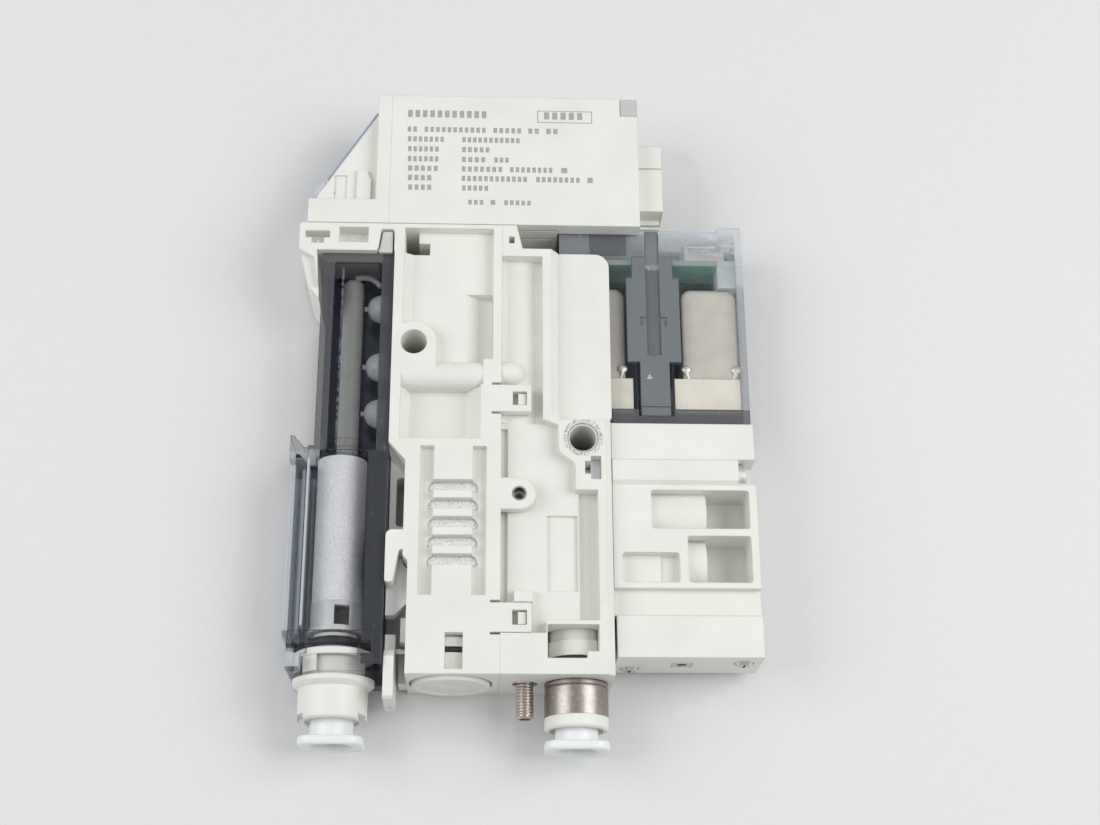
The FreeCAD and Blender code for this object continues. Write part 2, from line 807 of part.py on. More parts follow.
def right_recesses():
    front = BODY_DEPTH + PAST
    floor = BODY_DEPTH - FLOOR_DEPTH
    trench = BODY_DEPTH - TRENCH_DEPTH
    slope = prism_y(
        [
            (RIM_RIGHT, front),
            (RIM_RIGHT, BODY_DEPTH),
            (COVER_X0 - 0.1, PLATE_TOP_Z),
            (PLATE_RIGHT + PAST, PLATE_TOP_Z),
            (PLATE_RIGHT + PAST, front),
        ],
        PLATE_BOTTOM,
        RIM_TOP + PAST,
    )
    channel = prism_y(
        [
            (SEAM_X, front),
            (SEAM_X, floor + 0.2),
            (SEAM_X + 1.1, floor),
            (-9.5, floor),
            (-7.9, floor - 0.6),
            (RIM_LEFT, floor - 0.6),
            (RIM_LEFT, front),
        ],
        PLATE_BOTTOM - 1.1,
        RIM_TOP - 1.5,
    )
    field_bottom = LOWER_TAB_Y - LOWER_TAB_HEIGHT / 2 - FIT
    field = slab(
        [
            (SEAM_X, field_bottom),
            (-6.2, field_bottom),
            (-6.2, -31.0),
            (TRENCH_RIGHT, -31.0),
            (TRENCH_RIGHT, -9.2),
            (-1.3, -9.2),
            (-1.3, -4.6, 1.0),
            (-4.1, -2.6, 2.5),
            (-4.1, 2.1),
            (-6.3, PLATE_BOTTOM - 1.1),
            (SEAM_X, PLATE_BOTTOM - 1.1),
        ],
        floor,
        front,
    )
    groove = box(TRENCH_LEFT, TRENCH_RIGHT, -31.0, -9.2, trench, front)
    seam_strip = box(SEAM_X, SEAM_X + 1.1, field_bottom, 2.0, trench, front)
    frame = box(-5.9, -1.0, -25.8, -13.1, floor - FRAME_DEPTH, front)
    mark = box(-12.3, -11.4, 35.7, 37.0, BODY_DEPTH - 2.0, front)
    edge = prism_y(
        [(3.6, front), (3.6, BODY_DEPTH), (RIGHT_X, BODY_DEPTH - 1.0), (RIGHT_X + PAST, front - 2)]
        + [(RIGHT_X + PAST, front)],
        BODY_BOTTOM - PAST,
        PLATE_BOTTOM,
    )
    return [slope, channel, field, groove, seam_strip, frame, mark, edge]


def right_details():
    """Catches for the two tabs, the rib's round end and the small raised lands."""
    floor = BODY_DEPTH - FLOOR_DEPTH
    parts = []
    for y in (UPPER_TAB_Y, LOWER_TAB_Y):
        x0 = SEAM_X + 1.9 + 0.9
        parts.append(box(x0, x0 + TAB_WINDOW - 1.0, y - 1.0, y + 1.0, floor - 0.7, BODY_DEPTH - 0.5))
    knob_z = BODY_DEPTH - RIB_R
    knob = Part.makeSphere(RIB_R - 0.1, vec(-11.8, RIB_Y + 0.4, knob_z))
    knob = knob.common(box(-11.8, -9.0, RIB_Y - 3.0, RIB_Y + 3.0, 0, BODY_DEPTH))
    parts.append(joined(rod_x(RIB_R - 0.1, SEAM_X, -11.8, RIB_Y + 0.4, knob_z), knob))
    parts.append(box(-11.3, SEAM_X + TAB_REACH + 0.2, -27.9, -26.0, floor - 0.7, BODY_DEPTH - 0.6))
    return parts


def valve_body():
    front = BODY_DEPTH + PAST
    body = joined(without(right_blank(), *right_recesses()), *right_details())
    hole = rod_z(HOLE_R, -PAST, front, 0, 0)
    rim = Part.makeCone(HOLE_R, HOLE_R + HOLE_CHAMFER + PAST, HOLE_CHAMFER + PAST)
    rim.translate(vec(0, 0, BODY_DEPTH - HOLE_CHAMFER))
    bore = rod_y(SUPPLY_BORE_R, BODY_BOTTOM - PAST, SUPPLY_BORE_TOP, SUPPLY_X, MID_Z)
    feed = rod_y(1.6, SUPPLY_BORE_TOP, SUPPLY_SPOOL_Y + 1.2, SUPPLY_X, MID_Z)
    window = joined(
        box(-6.0, 2.2, -36.0, -31.7, MID_Z + 2.0, front),
        box(-6.0, 0.3, -37.1, -35.0, MID_Z + 2.0, front),
    )
    bush_hole = rod_y(BUSH_R + RUN, BODY_BOTTOM - PAST, BODY_BOTTOM + BUSH_DEPTH, NEEDLE_X, MID_Z)
    needle_hole = rod_y(NEEDLE_R + 0.2, BODY_BOTTOM, BODY_BOTTOM + 10.0, NEEDLE_X, MID_Z)
    air_way = rod_y(PASSAGE_R, BODY_BOTTOM + 9.0, INLET_Y, NEEDLE_X, MID_Z)
    air_cross = rod_x(PASSAGE_R, SEAM_X - PAST, NEEDLE_X, INLET_Y, MID_Z)
    tools = [hole, rim, bore, feed, window, bush_hole, needle_hole, air_way, air_cross]
    for y in (SUPPLY_SPOOL_Y, RELEASE_SPOOL_Y):
        tools.append(rod_x(PASSAGE_R, SUPPLY_X, RIGHT_X + PAST, y, MID_Z))
    tie_hole = rod_x(TIE_R + 0.15, NUT_X - 0.9, RIGHT_X + PAST, TIE_Y, TIE_Z)
    half = NUT_ACROSS / 2 + RUN
    nut_seat = box(NUT_X - RUN, NUT_X + NUT_THICK + RUN, TIE_Y - half, TIE_Y + half, TIE_Z - half, front)
    tip_window = box(NUT_X - 1.0, NUT_X, TIE_Y - 1.1, TIE_Y + 1.1, TIE_Z - 1.3, front)
    screw_hole = rod_z(0.7, BODY_DEPTH - 6.0, front, EYE_X, EYE_Y)
    tools.extend([tie_hole, nut_seat, tip_window, screw_hole])
    return without(body, *tools)


# Adjusting screw
def needle_bush():
    return ring_y(BUSH_R, NEEDLE_R + RUN, BODY_BOTTOM + AIR, BODY_BOTTOM + BUSH_DEPTH, NEEDLE_X)


def release_needle():
    tip = NEEDLE_END + NEEDLE_LENGTH
    profile = [
        (0, NEEDLE_END),
        (NEEDLE_R - 0.25, NEEDLE_END),
        (NEEDLE_R, NEEDLE_END + 0.25),
        (NEEDLE_R, tip - 2.5),
        (0.8, tip - 2.0),
        (0.3, tip),
        (0, tip),
    ]
    needle = turned_y(profile, NEEDLE_X, MID_Z)
    slot = box(NEEDLE_X - 0.25, NEEDLE_X + 0.25, NEEDLE_END - PAST, NEEDLE_END + 0.6, 0, BODY_DEPTH)
    return needle.cut(slot)


# Push-in fittings
def release_button(x, mouth):
    sleeve_end = mouth + BUTTON_LENGTH
    profile = [
        (NECK_R, mouth + 0.15),
        (FLANGE_R - 0.5, mouth),
        (FLANGE_R, mouth + 0.5),
        (FLANGE_R, mouth + FLANGE_THICK - 0.3),
        (FLANGE_R - 0.3, mouth + FLANGE_THICK),
        (NECK_R, mouth + FLANGE_THICK),
        (NECK_R, sleeve_end - 0.5),
        (BEAD_R, sleeve_end - 0.5),
        (BEAD_R - 0.3, sleeve_end),
        (BUTTON_BORE_R, sleeve_end),
        (BUTTON_BORE_R, mouth + 0.6),
    ]
    flats = [
        box(x - FLANGE_R, x + FLANGE_R, mouth - PAST, mouth + FLANGE_THICK + PAST, z, z + FLANGE_R)
        for z in (MID_Z - FLANGE_HALF_DEPTH - FLANGE_R, MID_Z + FLANGE_HALF_DEPTH)
    ]
    return turned_y(profile, x, MID_Z).cut(flats)


def guide_profile(x, mouth, outer, bottom, top):
    """Cartridge mouth: a countersink, the button's guide and the room behind it."""
    profile = [
        (CARTRIDGE_R + 0.1, bottom),
        (outer - 0.3, bottom),
        (outer, bottom + 0.3),
        (outer, top),
        (CARTRIDGE_R, top),
        (CARTRIDGE_R, mouth + GUIDE_FAR),
        (NECK_R + RUN, mouth + GUIDE_FAR),
        (NECK_R + RUN, mouth + GUIDE_NEAR),
        (CARTRIDGE_R + 0.1, mouth + GUIDE_NEAR),
    ]
    return turned_y(profile, x, MID_Z)


def supply_port_collar():
    return guide_profile(SUPPLY_X, SUPPLY_MOUTH, SLEEVE_R, COLLAR_BOTTOM, SLEEVE_BOTTOM)


def supply_port_sleeve():
    socket_end = SUPPLY_MOUTH + SEAL_FAR
    profile = [
        (CARTRIDGE_R, SLEEVE_BOTTOM),
        (SLEEVE_R, SLEEVE_BOTTOM),
        (SLEEVE_R, SLEEVE_LINE_Y - 0.15),
        (SLEEVE_R - 0.25, SLEEVE_LINE_Y),
        (SLEEVE_R, SLEEVE_LINE_Y + 0.15),
        (SLEEVE_R, BODY_BOTTOM + 0.1 - AIR),
        (SLEEVE_R - 0.5, BODY_BOTTOM + 0.1 - AIR),
        (SLEEVE_R - 0.5, SLEEVE_TOP),
        (TUBE_BORE_R, SLEEVE_TOP),
        (TUBE_BORE_R, socket_end),
        (CARTRIDGE_R, socket_end),
    ]
    return turned_y(profile, SUPPLY_X, MID_Z)


def supply_fitting_body():
    outer = SUPPLY_BORE_R - FIT
    stop = SUPPLY_MOUTH + TUBE_STOP
    profile = [
        (2.2, SUPPLY_BORE_TOP - 0.2),
        (outer - 0.4, SUPPLY_BORE_TOP - 0.2),
        (outer - 0.4, SUPPLY_BORE_TOP - 2.2),
        (outer, SUPPLY_BORE_TOP - 2.2),
        (outer, SUPPLY_SEAL_Y + SUPPLY_SEAL_R + RUN),
        (outer - 2 * SUPPLY_SEAL_R, SUPPLY_SEAL_Y + SUPPLY_SEAL_R + RUN),
        (outer - 2 * SUPPLY_SEAL_R, SUPPLY_SEAL_Y - SUPPLY_SEAL_R - RUN),
        (outer, SUPPLY_SEAL_Y - SUPPLY_SEAL_R - RUN),
        (outer, SLEEVE_TOP),
        (TUBE_BORE_R, SLEEVE_TOP),
        (TUBE_BORE_R, stop),
        (2.2, stop),
    ]
    return turned_y(profile, SUPPLY_X, MID_Z)


def supply_fitting_seal():
    return o_ring_y(SUPPLY_BORE_R - RUN - SUPPLY_SEAL_R, SUPPLY_SEAL_R, SUPPLY_SEAL_Y, SUPPLY_X)


def port_adapter():
    mouth = VACUUM_MOUTH
    flange_bottom = ADAPTER_FLANGE_TOP - ADAPTER_FLANGE_THICK
    bayonet_bottom = BAYONET_TOP - BAYONET_THICK
    profile = [
        (CARTRIDGE_R + 0.1, BARREL_BOTTOM),
        (BARREL_R - 0.3, BARREL_BOTTOM),
        (BARREL_R, BARREL_BOTTOM + 0.3),
        (BARREL_R + BARREL_TAPER, flange_bottom - 0.3),
        (ADAPTER_FLANGE_R - 0.5, flange_bottom),
        (ADAPTER_FLANGE_R, flange_bottom + 0.4),
        (ADAPTER_FLANGE_R, ADAPTER_FLANGE_TOP),
        (5.0, ADAPTER_FLANGE_TOP),
        (5.0, bayonet_bottom),
        (BAYONET_R, bayonet_bottom),
        (BAYONET_R, BAYONET_TOP - 0.2),
        (BAYONET_R - 0.4, BAYONET_TOP),
        (SPIGOT_R, BAYONET_TOP),
        (SPIGOT_R, SPIGOT_TOP - 2.2),
        (SPIGOT_R - 0.5, SPIGOT_TOP - 2.2),
        (SPIGOT_R - 0.5, SPIGOT_TOP - 0.6),
        (SPIGOT_R, SPIGOT_TOP - 0.6),
        (SPIGOT_R, SPIGOT_TOP),
        (2.2, SPIGOT_TOP),
        (2.2, mouth + TUBE_STOP),
        (TUBE_BORE_R, mouth + TUBE_STOP),
        (TUBE_BORE_R, mouth + SEAL_FAR),
        (CARTRIDGE_R, mouth + SEAL_FAR),
        (CARTRIDGE_R, mouth + GUIDE_FAR),
        (NECK_R + RUN, mouth + GUIDE_FAR),
        (NECK_R + RUN, mouth + GUIDE_NEAR),
        (CARTRIDGE_R + 0.1, mouth + GUIDE_NEAR),
    ]
    body = turned_y(profile, VACUUM_X, MID_Z)
    lug = box(-44.6, -42.3, CASE_BOTTOM + 0.5, bayonet_bottom, MID_Z, BODY_DEPTH)
    lug = lug.common(rod_y(BAYONET_R - 0.1, CASE_BOTTOM, BAYONET_TOP, VACUUM_X, MID_Z))
    lug = lug.cut(rod_y(4.5, CASE_BOTTOM - PAST, BAYONET_TOP, VACUUM_X, MID_Z))
    notches = []
    for side in (-1, 1):
        x = VACUUM_X + side * 4.8
        notches.append(box(x - 0.5, x + 0.5, BARREL_BOTTOM - PAST, BARREL_BOTTOM + 0.9, 0, BODY_DEPTH))
    return without(joined(body, lug), *notches)


def adapter_seal():
    return o_ring_y(SPIGOT_R + 0.28, 0.74, SPIGOT_TOP - 1.4, VACUUM_X)


def grip_rings():
    rings = []
    for x, mouth in ((VACUUM_X, VACUUM_MOUTH), (SUPPLY_X, SUPPLY_MOUTH)):
        y = mouth + RING_AT
        rings.append(
            turned_y(
                [
                    (CARTRIDGE_R - RUN, y),
                    (CARTRIDGE_R - RUN, y + 0.25),
                    (GRIP_R, y + 0.7),
                    (GRIP_R, y + 0.45),
                ],
                x,
                MID_Z,
            )
        )
    return Part.makeCompound(rings)


def tube_seals():
    seals = []
    for x, mouth in ((VACUUM_X, VACUUM_MOUTH), (SUPPLY_X, SUPPLY_MOUTH)):
        seals.append(ring_y(CARTRIDGE_R - RUN, TUBE_BORE_R, mouth + SEAL_NEAR, mouth + SEAL_FAR, x))
    return Part.makeCompound(seals)


# Filter case and what it holds
def filter_case():
    upper = box(CASE_LEFT, LEFT_X - FIT, LOWER_CASE_TOP - PAST, CASE_TOP, CASE_Z0, CASE_Z1)
    lower = box(LOWER_CASE_LEFT, LEFT_X - FIT, SOCKET_TOP - PAST, LOWER_CASE_TOP, CASE_Z0, CASE_Z1)
    socket = rounded_box(
        SOCKET_LEFT, LEFT_X - FIT, CASE_BOTTOM, SOCKET_TOP, SWITCH_Z0, BODY_DEPTH - SWITCH_Z0, 0.4
    )
    fin = joined(
        box(FIN_LEFT, LOWER_CASE_LEFT, SOCKET_TOP, SOCKET_TOP + 29.1, CASE_Z0, CASE_Z0 + 1.2),
        box(FIN_LEFT, FIN_LEFT + 0.9, SOCKET_TOP, SOCKET_TOP + 29.1, CASE_Z0, CASE_Z0 + 8.4),
        box(FIN_LEFT + 1.8, FIN_LEFT + 2.3, SOCKET_TOP, SOCKET_TOP + 29.1, CASE_Z0, CASE_Z0 + 6.0),
    )
    wedge_y = SOCKET_TOP + 29.1
    wedge = slab(
        [
            (FIN_LEFT, wedge_y),
            (LOWER_CASE_LEFT, wedge_y),
            (LOWER_CASE_LEFT, LOWER_CASE_TOP),
            (LOWER_CASE_LEFT - 0.7, LOWER_CASE_TOP),
            (FIN_LEFT + 0.6, wedge_y + 4.2),
            (FIN_LEFT, wedge_y + 4.2),
        ],
        CASE_Z0,
        CASE_Z1 - 1.0,
    )
    case = joined(upper, lower, socket, fin, wedge)
    chamber = rod_y(FILTER_CHAMBER_R, SOCKET_TOP - 3.0, FILTER_CHAMBER_TOP, VACUUM_X, MID_Z)
    mouth = rod_y(BAYONET_R + 0.15, CASE_BOTTOM - PAST, BAYONET_TOP + 0.4, VACUUM_X, MID_Z)
    hollow = box(
        CASE_LEFT + CASE_WALL,
        LEFT_X,
        FILTER_CHAMBER_TOP + 2.2,
        CASE_TOP - 1.3,
        CASE_Z0 + CASE_WALL,
        CASE_Z1 - CASE_WALL,
    )
    passage = rod_y(PASSAGE_TUBE_R + RUN, FILTER_CHAMBER_TOP - PAST, CHECK_YS[2], TUBE_LINE_X, MID_Z)
    view = rounded_box(CASE_LEFT + 2.1, LEFT_X - 2.1, -2.1, 32.2, CASE_Z1 - 0.5, CASE_Z1 + PAST, 0.5)
    back_pocket = box(-34.7, -33.1, -31.5, -4.8, CASE_Z0 - PAST, CASE_Z1 - 1.2)
    collar_window = box(-46.0, -33.7, -36.4, -34.4, BODY_DEPTH - 2.5, BODY_DEPTH)
    lug_slot = box(-44.9, -42.0, CASE_BOTTOM - PAST, -36.0, MID_Z + 2.0, BODY_DEPTH)
    return without(case, chamber, mouth, hollow, passage, view, back_pocket, collar_window, lug_slot)


def filter_element():
    top = FILTER_CHAMBER_TOP - AIR
    return ring_y(ELEMENT_R, ELEMENT_BORE, top - ELEMENT_LENGTH, top, VACUUM_X)


def filter_holder():
    seat = FILTER_CHAMBER_TOP - AIR - ELEMENT_LENGTH
    bottom = SPIGOT_TOP + 0.2
    profile = [
        (HOLDER_BORE_R, bottom),
        (FILTER_CHAMBER_R - 0.1, bottom),
        (FILTER_CHAMBER_R - 0.1, bottom + 0.6),
        (ELEMENT_R + 0.1, bottom + 0.6),
        (ELEMENT_R + 0.1, seat),
        (2.0, seat),
        (2.0, seat - 0.6),
        (3.5, seat - 0.6),
        (3.5, bottom + 0.6),
        (HOLDER_BORE_R, bottom + 0.6),
    ]
    cup = turned_y(profile, VACUUM_X, MID_Z)
    window = box(-40.0, -37.6, bottom + 0.9, seat - 0.8, MID_Z, BODY_DEPTH)
    return cup.cut(window)


def passage_tube():
    """Straight tube with a domed end, ports to the check valves and an arched rib on top."""
    start = FILTER_CHAMBER_TOP + 0.1
    bore_r = PASSAGE_TUBE_R - 0.6
    profile = [
        (bore_r, start),
        (PASSAGE_TUBE_R, start),
        (PASSAGE_TUBE_R, TUBE_TOP - 1.0),
        (PASSAGE_TUBE_R - 0.5, TUBE_TOP - 0.3),
        (PASSAGE_TUBE_R - 1.2, TUBE_TOP),
        (0, TUBE_TOP),
        (0, TUBE_TOP - 0.7),
        (bore_r, TUBE_TOP - 1.2),
    ]
    tube = turned_y(profile, TUBE_LINE_X, MID_Z)
    for y in CHECK_YS:
        tube = tube.cut(rod_x(CHECK_PIN_R, TUBE_LINE_X, TUBE_LINE_X + PASSAGE_TUBE_R + PAST, y, MID_Z))
    centre = vec(TUBE_LINE_X + PASSAGE_TUBE_R, ARCH_Y, MID_Z + 1.0)
    first = math.radians(28)
    along = vec(-math.sin(first), math.cos(first), 0)
    foot = centre + vec(math.cos(first), math.sin(first), 0) * ARCH_R
    disc = Part.Face(Part.Wire(Part.makeCircle(ARCH_WIRE_R, foot, along)))
    arch = disc.revolve(centre, vec(0, 0, 1), 88)
    return joined(tube, arch)


def check_valves():
    valves = []
    for y in CHECK_YS:
        valves.append(
            turned_x(
                [
                    (LEFT_X + 0.8, 0),
                    (LEFT_X + 0.8, 0.9),
                    (LEFT_X - 1.0, 0.9),
                    (LEFT_X - 1.0, CHECK_R),
                    (LEFT_X - 2.6, CHECK_R),
                    (LEFT_X - 3.5, CHECK_R - 0.3),
                    (LEFT_X - 4.2, CHECK_R - 0.8),
                    (LEFT_X - 4.6, CHECK_R - 1.5),
                    (LEFT_X - 4.75, CHECK_PIN_R),
                    (LEFT_X - 5.3, CHECK_PIN_R),
                    (LEFT_X - 5.3, 0),
                ],
                y,
                MID_Z,
            )
        )
    return Part.makeCompound(valves)


def case_catch():
    """Finger that stands on the case and fills the slot in the bracket arm."""
    x1 = LEFT_X - 0.4
    top = BODY_TOP - 1.1 - AIR
    return slab(
        [
            (x1, CASE_TOP, 0.2),
            (x1, top, 0.4),
            (x1 - ARM_SLOT_WIDTH + 0.6, top, 0.4),
            (x1 - ARM_SLOT_WIDTH + 0.1, ARM_BOTTOM + 0.6),
            (x1 - ARM_SLOT_WIDTH - 0.2, CASE_TOP, 0.2),
        ],
        CASE_Z1 - 4.0,
        BODY_DEPTH - 0.5,
    )


# Lever beside the port
def lock_lever():
    x0 = LEFT_X + 0.2
    y = LEVER_PIN_Y
    z = LEVER_PIN_Z
    section = [
        (y - 0.9, z - 2.5),
        (y + 2.1, z - 2.5),
        (y + 2.1, z + 2.5),
        (y - 0.6, z + 2.5),
        (y - 0.9, z + 4.9),
        (y - 2.2, LEVER_TOP_Z),
        (LEVER_END + 0.4, LEVER_TOP_Z),
        (LEVER_END, LEVER_TOP_Z - 0.5),
        (LEVER_END, 4.0),
        (LEVER_END + 1.2, 2.6),
        (y - 3.0, 2.6),
    ]
    lever = prism_x(section, x0, x0 + LEVER_WIDTH)
    hole = rod_x(LEVER_PIN_R + RUN, x0 + 0.6, x0 + LEVER_WIDTH + PAST, y, z)
    dimple = rod_y(0.35, LEVER_END - PAST, LEVER_END + 0.4, x0 + LEVER_WIDTH / 2, 7.0)
    return lever.cut([hole, dimple])


def lever_pin():
    return rod_x(LEVER_PIN_R, LEFT_X + 0.9, LOWER_X + 0.65, LEVER_PIN_Y, LEVER_PIN_Z)


def latch_plate():
    z1 = BODY_DEPTH - HOOK_THICK - 0.2
    right = LOWER_X - FIT
    return slab(
        [
            (LEFT_X + 0.1, HOOK_TOP - 3.6),
            (LEFT_X + 0.1, -29.3),
            (right - 2.0, -29.3),
            (right, -27.3),
            (right, HOOK_TOP - 5.4),
            (NECK_X - FIT, HOOK_TOP - 4.6),
            (NECK_X - FIT, HOOK_TOP - 3.6),
        ],
        z1 - 2.6,
        z1,
    )


# Pilot valve block
def block_section(y0, y1, z):
    return box(BLOCK_X0, BLOCK_X1, y0, y1, BLOCK_Z0, z)


def pilot_valve_block():
    ridge_z = BLOCK_Z1 + RIDGE_RISE
    top_band = block_section(RIDGE_TOP, BLOCK_TOP, BLOCK_Z1)
    ridge = prism_x(
        [
            (RIDGE_TOP, BLOCK_Z0),
            (RIDGE_TOP, ridge_z - 0.3),
            (RIDGE_TOP - 0.3, ridge_z),
            (RIDGE_BOTTOM, ridge_z),
            (RIDGE_BOTTOM - 0.8, BLOCK_Z1),
            (RIDGE_BOTTOM - 0.8, BLOCK_Z0),
        ],
        BLOCK_X0,
        BLOCK_X1 - 0.1,
    )
    middle = block_section(BLOCK_GROOVE_TOP, RIDGE_BOTTOM, BLOCK_Z1 + 0.2)
    groove = block_section(BLOCK_BOTTOM, BLOCK_GROOVE_TOP, BLOCK_Z1 - BLOCK_GROOVE_DEPTH)
    block = joined(top_band, ridge, middle, groove)
    front = BLOCK_Z1 + RIDGE_RISE + PAST
    supply_pocket = rounded_box(11.2, 27.4, -15.1, -8.5, POCKET_FLOOR_Z, front, CORNER_R)
    release_pocket = rounded_box(17.0, 27.4, -24.2, -16.35, POCKET_FLOOR_Z, front, CORNER_R)
    small_pocket = rounded_box(6.3, 15.6, -24.2, -19.2, BLOCK_Z1 - 1.6, front, CORNER_R)
    small_step = box(12.7, 15.2, -24.0, -19.4, BLOCK_Z1 - 1.9, front)
    supply_bulge = rod_x(BULGE_R, BLOCK_X0 + 4.0, 20.4, SUPPLY_SPOOL_Y, MID_Z)
    release_bulge = rod_x(BULGE_R, BLOCK_X0 + 4.0, 20.2, RELEASE_SPOOL_Y, MID_Z)
    pockets = joined(supply_pocket, release_pocket).cut([supply_bulge, release_bulge])
    notch = box(
        TIE_HEAD_X,
        BLOCK_X1 + PAST,
        TIE_Y - TIE_HEAD_R - 0.2,
        TIE_Y + TIE_HEAD_R + 0.2,
        TIE_Z - TIE_HEAD_R - 0.1,
        front,
    )
    tools = [pockets, small_pocket, small_step, notch]
    tools.append(rod_x(TIE_R + 0.15, BLOCK_X0 - PAST, TIE_HEAD_X + PAST, TIE_Y, TIE_Z))
    for y in (SUPPLY_SPOOL_Y, RELEASE_SPOOL_Y):
        tools.append(rod_x(SPOOL_R, BLOCK_X0 - PAST, SPOOL_BORE_END, y, MID_Z))
    for x, z, shank, _ in END_SCREWS:
        tools.append(rod_y(shank + RUN, BLOCK_BOTTOM - PAST, SCREW_END + 0.2, x, z))
    return without(block, *tools)


def valve_end_cover():
    cover = box(BLOCK_X0 + 0.35, BLOCK_X1, END_BOTTOM, BLOCK_BOTTOM, BLOCK_Z0, BLOCK_Z1)
    bevel = box(
        BLOCK_X0,
        BLOCK_X1 + PAST,
        BLOCK_BOTTOM - 0.2,
        BLOCK_BOTTOM + PAST,
        BLOCK_Z1 - 0.3,
        BODY_DEPTH,
    )
    half = SQUARE_HALF + RUN
    nut_seat = box(
        SQUARE_X - half,
        SQUARE_X + half,
        END_BOTTOM - PAST,
        END_BOTTOM + SQUARE_THICK,
        MID_Z + 0.25 - half,
        MID_Z + 0.25 + half,
    )
    tools = [bevel, nut_seat]
    for x, z, shank, head in END_SCREWS:
        tools.append(rod_y(shank + FIT, END_BOTTOM - PAST, BLOCK_BOTTOM + PAST, x, z))
        tools.append(rod_y(head + FIT, END_BOTTOM - PAST, END_BOTTOM + 0.9, x, z))
    return without(cover, *tools)


def cross_head_screw(x, z, shank_r, head_r):
    face = END_BOTTOM - 0.5
    profile = [
        (0, face),
        (head_r * 0.7, face),
        (head_r, face + 0.6),
        (head_r, END_BOTTOM + 0.9),
        (shank_r, END_BOTTOM + 0.9),
        (shank_r, SCREW_END),
        (0, SCREW_END),
    ]
    screw = turned_y(profile, x, z)
    arm = head_r * 0.62
    depth = face + 0.7
    across = box(x - arm, x + arm, face - PAST, depth, z - 0.18, z + 0.18)
    upright = box(x - 0.18, x + 0.18, face - PAST, depth, z - arm, z + arm)
    return screw.cut([across, upright])


def end_cover_screws():
    return Part.makeCompound([cross_head_screw(*sizes) for sizes in END_SCREWS])


def square_nut():
    z = MID_Z + 0.25
    nut = box(
        SQUARE_X - SQUARE_HALF,
        SQUARE_X + SQUARE_HALF,
        END_BOTTOM,
        END_BOTTOM + SQUARE_THICK,
        z - SQUARE_HALF,
        z + SQUARE_HALF,
    )
    return nut.cut(rod_y(0.85, END_BOTTOM - PAST, END_BOTTOM + SQUARE_THICK + PAST, SQUARE_X, z))


def tie_screw():
    profile = [
        (NUT_X - 0.8, 0),
        (NUT_X - 0.8, TIE_R - 0.2),
        (NUT_X - 0.6, TIE_R),
        (TIE_HEAD_X, TIE_R),
        (TIE_HEAD_X, TIE_HEAD_R),
        (TIE_HEAD_X + 1.3, TIE_HEAD_R),
        (TIE_HEAD_X + 1.7, TIE_HEAD_R - 0.5),
        (TIE_HEAD_X + 1.7, 0),
    ]
    screw = turned_x(profile, TIE_Y, TIE_Z)
    end = TIE_HEAD_X + 1.7
    across = box(end - 0.8, end + PAST, TIE_Y - 1.1, TIE_Y + 1.1, TIE_Z - 0.2, TIE_Z + 0.2)
    upright = box(end - 0.8, end + PAST, TIE_Y - 0.2, TIE_Y + 0.2, TIE_Z - 1.1, TIE_Z + 1.1)
    return screw.cut([across, upright])


def tie_screw_nut():
    half = NUT_ACROSS / 2
    nut = box(NUT_X, NUT_X + NUT_THICK, TIE_Y - half, TIE_Y + half, TIE_Z - half, TIE_Z + half)
    return nut.cut(rod_x(TIE_R + 0.02, NUT_X - PAST, NUT_X + NUT_THICK + PAST, TIE_Y, TIE_Z))


def valve_gasket():
    y0 = BLOCK_BOTTOM + GASKET_INSET
    y1 = BLOCK_TOP - GASKET_INSET
    sheet = box(RIGHT_X, BLOCK_X0, y0, y1, BLOCK_Z0 + GASKET_INSET, TIE_Z - TIE_R - 0.7)
    holes = []
    for y in (SUPPLY_SPOOL_Y, RELEASE_SPOOL_Y):
        holes.append(rod_x(PASSAGE_R, RIGHT_X - PAST, BLOCK_X0 + PAST, y, MID_Z))
    return without(sheet, *holes)


def valve_spool(y):
    x0 = BLOCK_X0 + AIR
    x1 = x0 + SPOOL_LENGTH
    land = SPOOL_R - RUN
    waist = SPOOL_R - 0.9
    profile = [
        (x0, 0),
        (x0, land),
        (x0 + 2.0, land),
        (x0 + 2.0, waist),
        (x0 + 4.4, waist),
        (x0 + 4.4, land),
        (x0 + 6.2, land),
        (x0 + 6.2, waist),
        (x0 + 8.0, waist),
        (x0 + 8.0, land),
        (x1, land),
        (x1, 0),
    ]
    return turned_x(profile, y, MID_Z)


def coil_spring(y):
    """Half turns whose ends meet square to the wire, each tilted by its share of the rise."""
    x0 = BLOCK_X0 + AIR + SPOOL_LENGTH + SPOOL_TRAVEL + FIT + SPRING_WIRE_R
    coil_r = SPOOL_R - SPRING_WIRE_R - 0.25
    halves = 2 * SPRING_TURNS
    rise = (SPOOL_BORE_END - SPRING_WIRE_R - x0) / halves
    parts = []
    for i in range(halves):
        side = 1 - 2 * (i % 2)
        start = vec(x0 + i * rise, y + side * coil_r, MID_Z)
        end = vec(x0 + (i + 1) * rise, y - side * coil_r, MID_Z)
        centre = (start + end) * 0.5
        along = vec(0, 0, side)
        disc = Part.Face(Part.Wire(Part.makeCircle(SPRING_WIRE_R, start, along)))
        parts.append(disc.revolve(centre, (start - centre).cross(along), 180))
    return joined(*parts)


def spool_springs():
    return Part.makeCompound([coil_spring(SUPPLY_SPOOL_Y), coil_spring(RELEASE_SPOOL_Y)])


